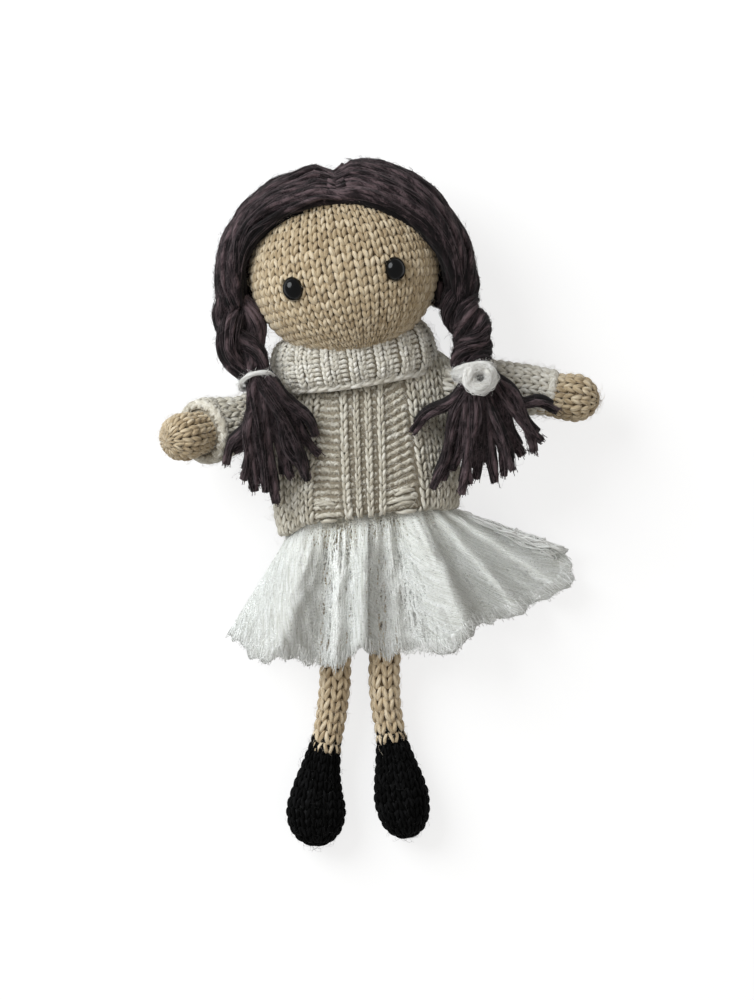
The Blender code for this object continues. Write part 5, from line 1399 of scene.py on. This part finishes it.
def make_skirt():
    """The two halves of the gauze."""
    across = SKIRT_POINTS // 2
    for side, span in HALVES.items():
        u, v = np.meshgrid(np.linspace(*span, across + 1), np.linspace(0, 1, SKIRT_ROWS + 1))
        points = skirt_point(u, v * ragged(u))
        i, j = np.meshgrid(np.arange(across), np.arange(SKIRT_ROWS))
        a = (j * (across + 1) + i).ravel()
        quads = np.stack((a, a + across + 1, a + across + 2, a + 1), -1)
        hem_steps = np.linalg.norm(np.diff(points[-1], axis=0), axis=1)
        reach = np.concatenate(([0], np.cumsum(hem_steps))) / GAUZE_THREAD
        squeeze = mix(GATHERED_SHARE, 1.0, v)
        maps = np.stack((reach * squeeze + SIDES[side], v * SKIRT_LENGTH / GAUZE_THREAD), -1)
        weave = Weave()
        weave.add(points.reshape(-1, 3), quads, maps.reshape(-1, 2)[quads], fold_shares(u)[5].ravel(), 0)
        cloth = finish(weave, side + "_skirt_gauze", [GAUZE], ["skirt"] if side == "left" else ())
        cloth.visible_shadow = False
        threads = make_threads(side, span)
        for piece in (cloth, threads):
            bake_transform(piece)


THREAD_PITCH = 0.003


def make_threads(side, span):
    """Threads that have pulled loose from the gauze, and the frayed ends along its hem."""
    weave = Weave()
    limits = span[0] + 0.001, span[1] - 0.001
    hang_down(weave, span, limits)
    run_across(weave, span, limits)
    fray_hem(weave, span, limits)
    return finish(weave, side + "_skirt_threads", [THREAD])


def hang_down(weave, span, limits, count=640):
    """Threads that run down the cloth and wander sideways."""
    def some(low, high):
        return rng.uniform(low, high, (count, 1))

    t = np.linspace(0, 1, 16)[None]
    u = some(*span)
    start = some(0.08, 0.72)
    end = np.minimum(start + some(0.15, 0.9), some(0.9, 1.0))
    v = mix(start, end, t)
    wander = rng.normal(0, 0.004, (count, 1)) * np.sin(pi * t) + rng.normal(0, 0.003, (count, 1)) * t
    wave = some(0.0006, 0.0034) * np.sin(some(5, 16) * t + some(0, 6))
    u = np.clip(u + wander + wave, *limits)
    lift = (0.0004 + some(0, 0.0013) * np.sin(pi * t))[..., None]
    paths = skirt_point(u, v) + skirt_normal(u, np.minimum(v, 0.98)) * lift
    weave.tubes(paths, some(0.00018, 0.00038), sides=4, pitch=THREAD_PITCH)


def run_across(weave, span, limits, count=300):
    """Threads that run round the skirt in waves."""
    def some(low, high):
        return rng.uniform(low, high, (count, 1))

    t = np.linspace(0, 1, 16)[None]
    u = np.clip(some(*span) + some(0.012, 0.050) * t, *limits)
    v = some(0.2, 0.93) + rng.normal(0, 0.05, (count, 1)) * t
    v = np.clip(v + some(0.006, 0.022) * np.sin(some(6, 18) * t), 0.15, 0.97)
    paths = skirt_point(u, v) + skirt_normal(u, v) * 0.0006
    weave.tubes(paths, some(0.00012, 0.00024), sides=4, pitch=THREAD_PITCH)


def fray_hem(weave, span, limits, count=260):
    """Short ends that reach past the hem."""
    t = np.linspace(0, 1, 7)[None]
    base = rng.uniform(*span, (count, 1))
    tip = ragged(base) + rng.uniform(-0.02, 0.032, (count, 1)) * (0.3 + 0.7 * rng.random((count, 1)))
    v = mix(0.90, tip, t)
    u = np.clip(base + rng.normal(0, 0.005, (count, 1)) * t ** 2, *limits)
    inside = np.minimum(v, 1)
    beyond = skirt_point(u, np.ones_like(v)) - skirt_point(u, np.full_like(v, 0.9))
    paths = skirt_point(u, inside) + beyond * ((v - inside) * 10)[..., None]
    paths[..., 2] = np.maximum(paths[..., 2] + rng.normal(0, 0.0006, (count, 1)) * t, 0.0004)
    weave.tubes(paths, 0.00011, sides=4, pitch=THREAD_PITCH)


# Build

make_head()
for side in SIDES:
    make_eye(side)
    make_hair(side)
    make_plait(side)
    make_tassel(side)
    make_tie(side)
    make_sleeve(side)
    make_arm(side)
    make_leg(side)
    make_shoe(side)
make_jumper()
make_collar()
make_body_bag()
make_skirt()

# Floor, light and camera

FLOOR_SIZE = 3.0
FLOOR_Z = -0.0002         # a hair below the doll, so that the two don't flicker
CAMERA_LENS = 240.0
SENSOR = 36.0
LIT_PLACE = (0, 0, 0.02)
FOCUS_HEIGHT = 0.020     # one photograph pixel is PIXEL wide at this height


def make_floor():
    """A floor that is white to the camera and grey to the light that it throws back."""
    bpy.ops.mesh.primitive_plane_add(size=FLOOR_SIZE, location=(0, 0, FLOOR_Z))
    floor = bpy.context.object
    floor.name = "floor"
    material = bpy.data.materials.new("pale_floor")
    material.use_nodes = True
    tree = material.node_tree
    tree.nodes.clear()
    lit = output(tree, "BsdfDiffuse", {"Color": (0.80, 0.80, 0.80, 1)})
    shaded = output(tree, "BsdfDiffuse", {"Color": (0.30, 0.30, 0.30, 1)})
    glow = output(tree, "Emission", {"Color": (1, 1, 1, 1), "Strength": 0.76})
    seen = output(tree, "AddShader", {0: shaded, 1: glow})
    rays = node(tree, "LightPath").outputs
    mirrored = math(tree, "MAXIMUM", rays["Is Glossy Ray"], rays["Is Transmission Ray"])
    straight = math(tree, "MAXIMUM", rays["Is Camera Ray"], mirrored)
    node(tree, "OutputMaterial", {0: output(tree, "MixShader", {0: straight, 1: lit, 2: seen})})
    floor.data.materials.append(material)
def make_light(name, place, target, size, power, colour):
    data = bpy.data.lights.new(name, "AREA")
    data.shape, data.size, data.energy, data.color = "DISK", size, power, colour
    lamp = bpy.data.objects.new(name, data)
    lamp.location = place
    lamp.rotation_euler = (Vector(target) - Vector(place)).to_track_quat("-Z", "Y").to_euler()
    lamp.visible_glossy = name == "key"
    bpy.context.scene.collection.objects.link(lamp)


def make_world():
    """A dim sky for the light, white to the camera."""
    world = bpy.data.worlds.new("studio")
    bpy.context.scene.world = world
    world.use_nodes = True
    tree = world.node_tree
    tree.nodes.clear()
    dim = output(tree, "Background", {"Color": (1.0, 0.975, 0.94, 1), "Strength": 0.40})
    white = output(tree, "Background", {"Color": (1, 1, 1, 1), "Strength": 1.0})
    seen = node(tree, "LightPath").outputs["Is Camera Ray"]
    node(tree, "OutputWorld", {0: output(tree, "MixShader", {0: seen, 1: dim, 2: white})})
def make_camera():
    data = bpy.data.cameras.new("camera")
    data.lens, data.sensor_width = CAMERA_LENS, SENSOR
    camera = bpy.data.objects.new("camera", data)
    distance = PHOTO_SIZE[1] * PIXEL * CAMERA_LENS / SENSOR
    centre = at(PHOTO_SIZE[0] / 2, PHOTO_SIZE[1] / 2)
    camera.location = (centre[0], centre[1], FOCUS_HEIGHT + distance)
    data.clip_start, data.clip_end = 0.1, 20
    bpy.context.scene.collection.objects.link(camera)
    bpy.context.scene.camera = camera


make_floor()
make_world()
make_light("key", (-0.75, 0.55, 0.75), LIT_PLACE, 0.90, 13.8, (0.95, 0.98, 1.0))
make_light("fill", (0.5, -0.45, 1.1), LIT_PLACE, 0.9, 1.0, (1.0, 0.92, 0.82))
make_camera()
bpy.context.scene.view_settings.view_transform = "Standard"
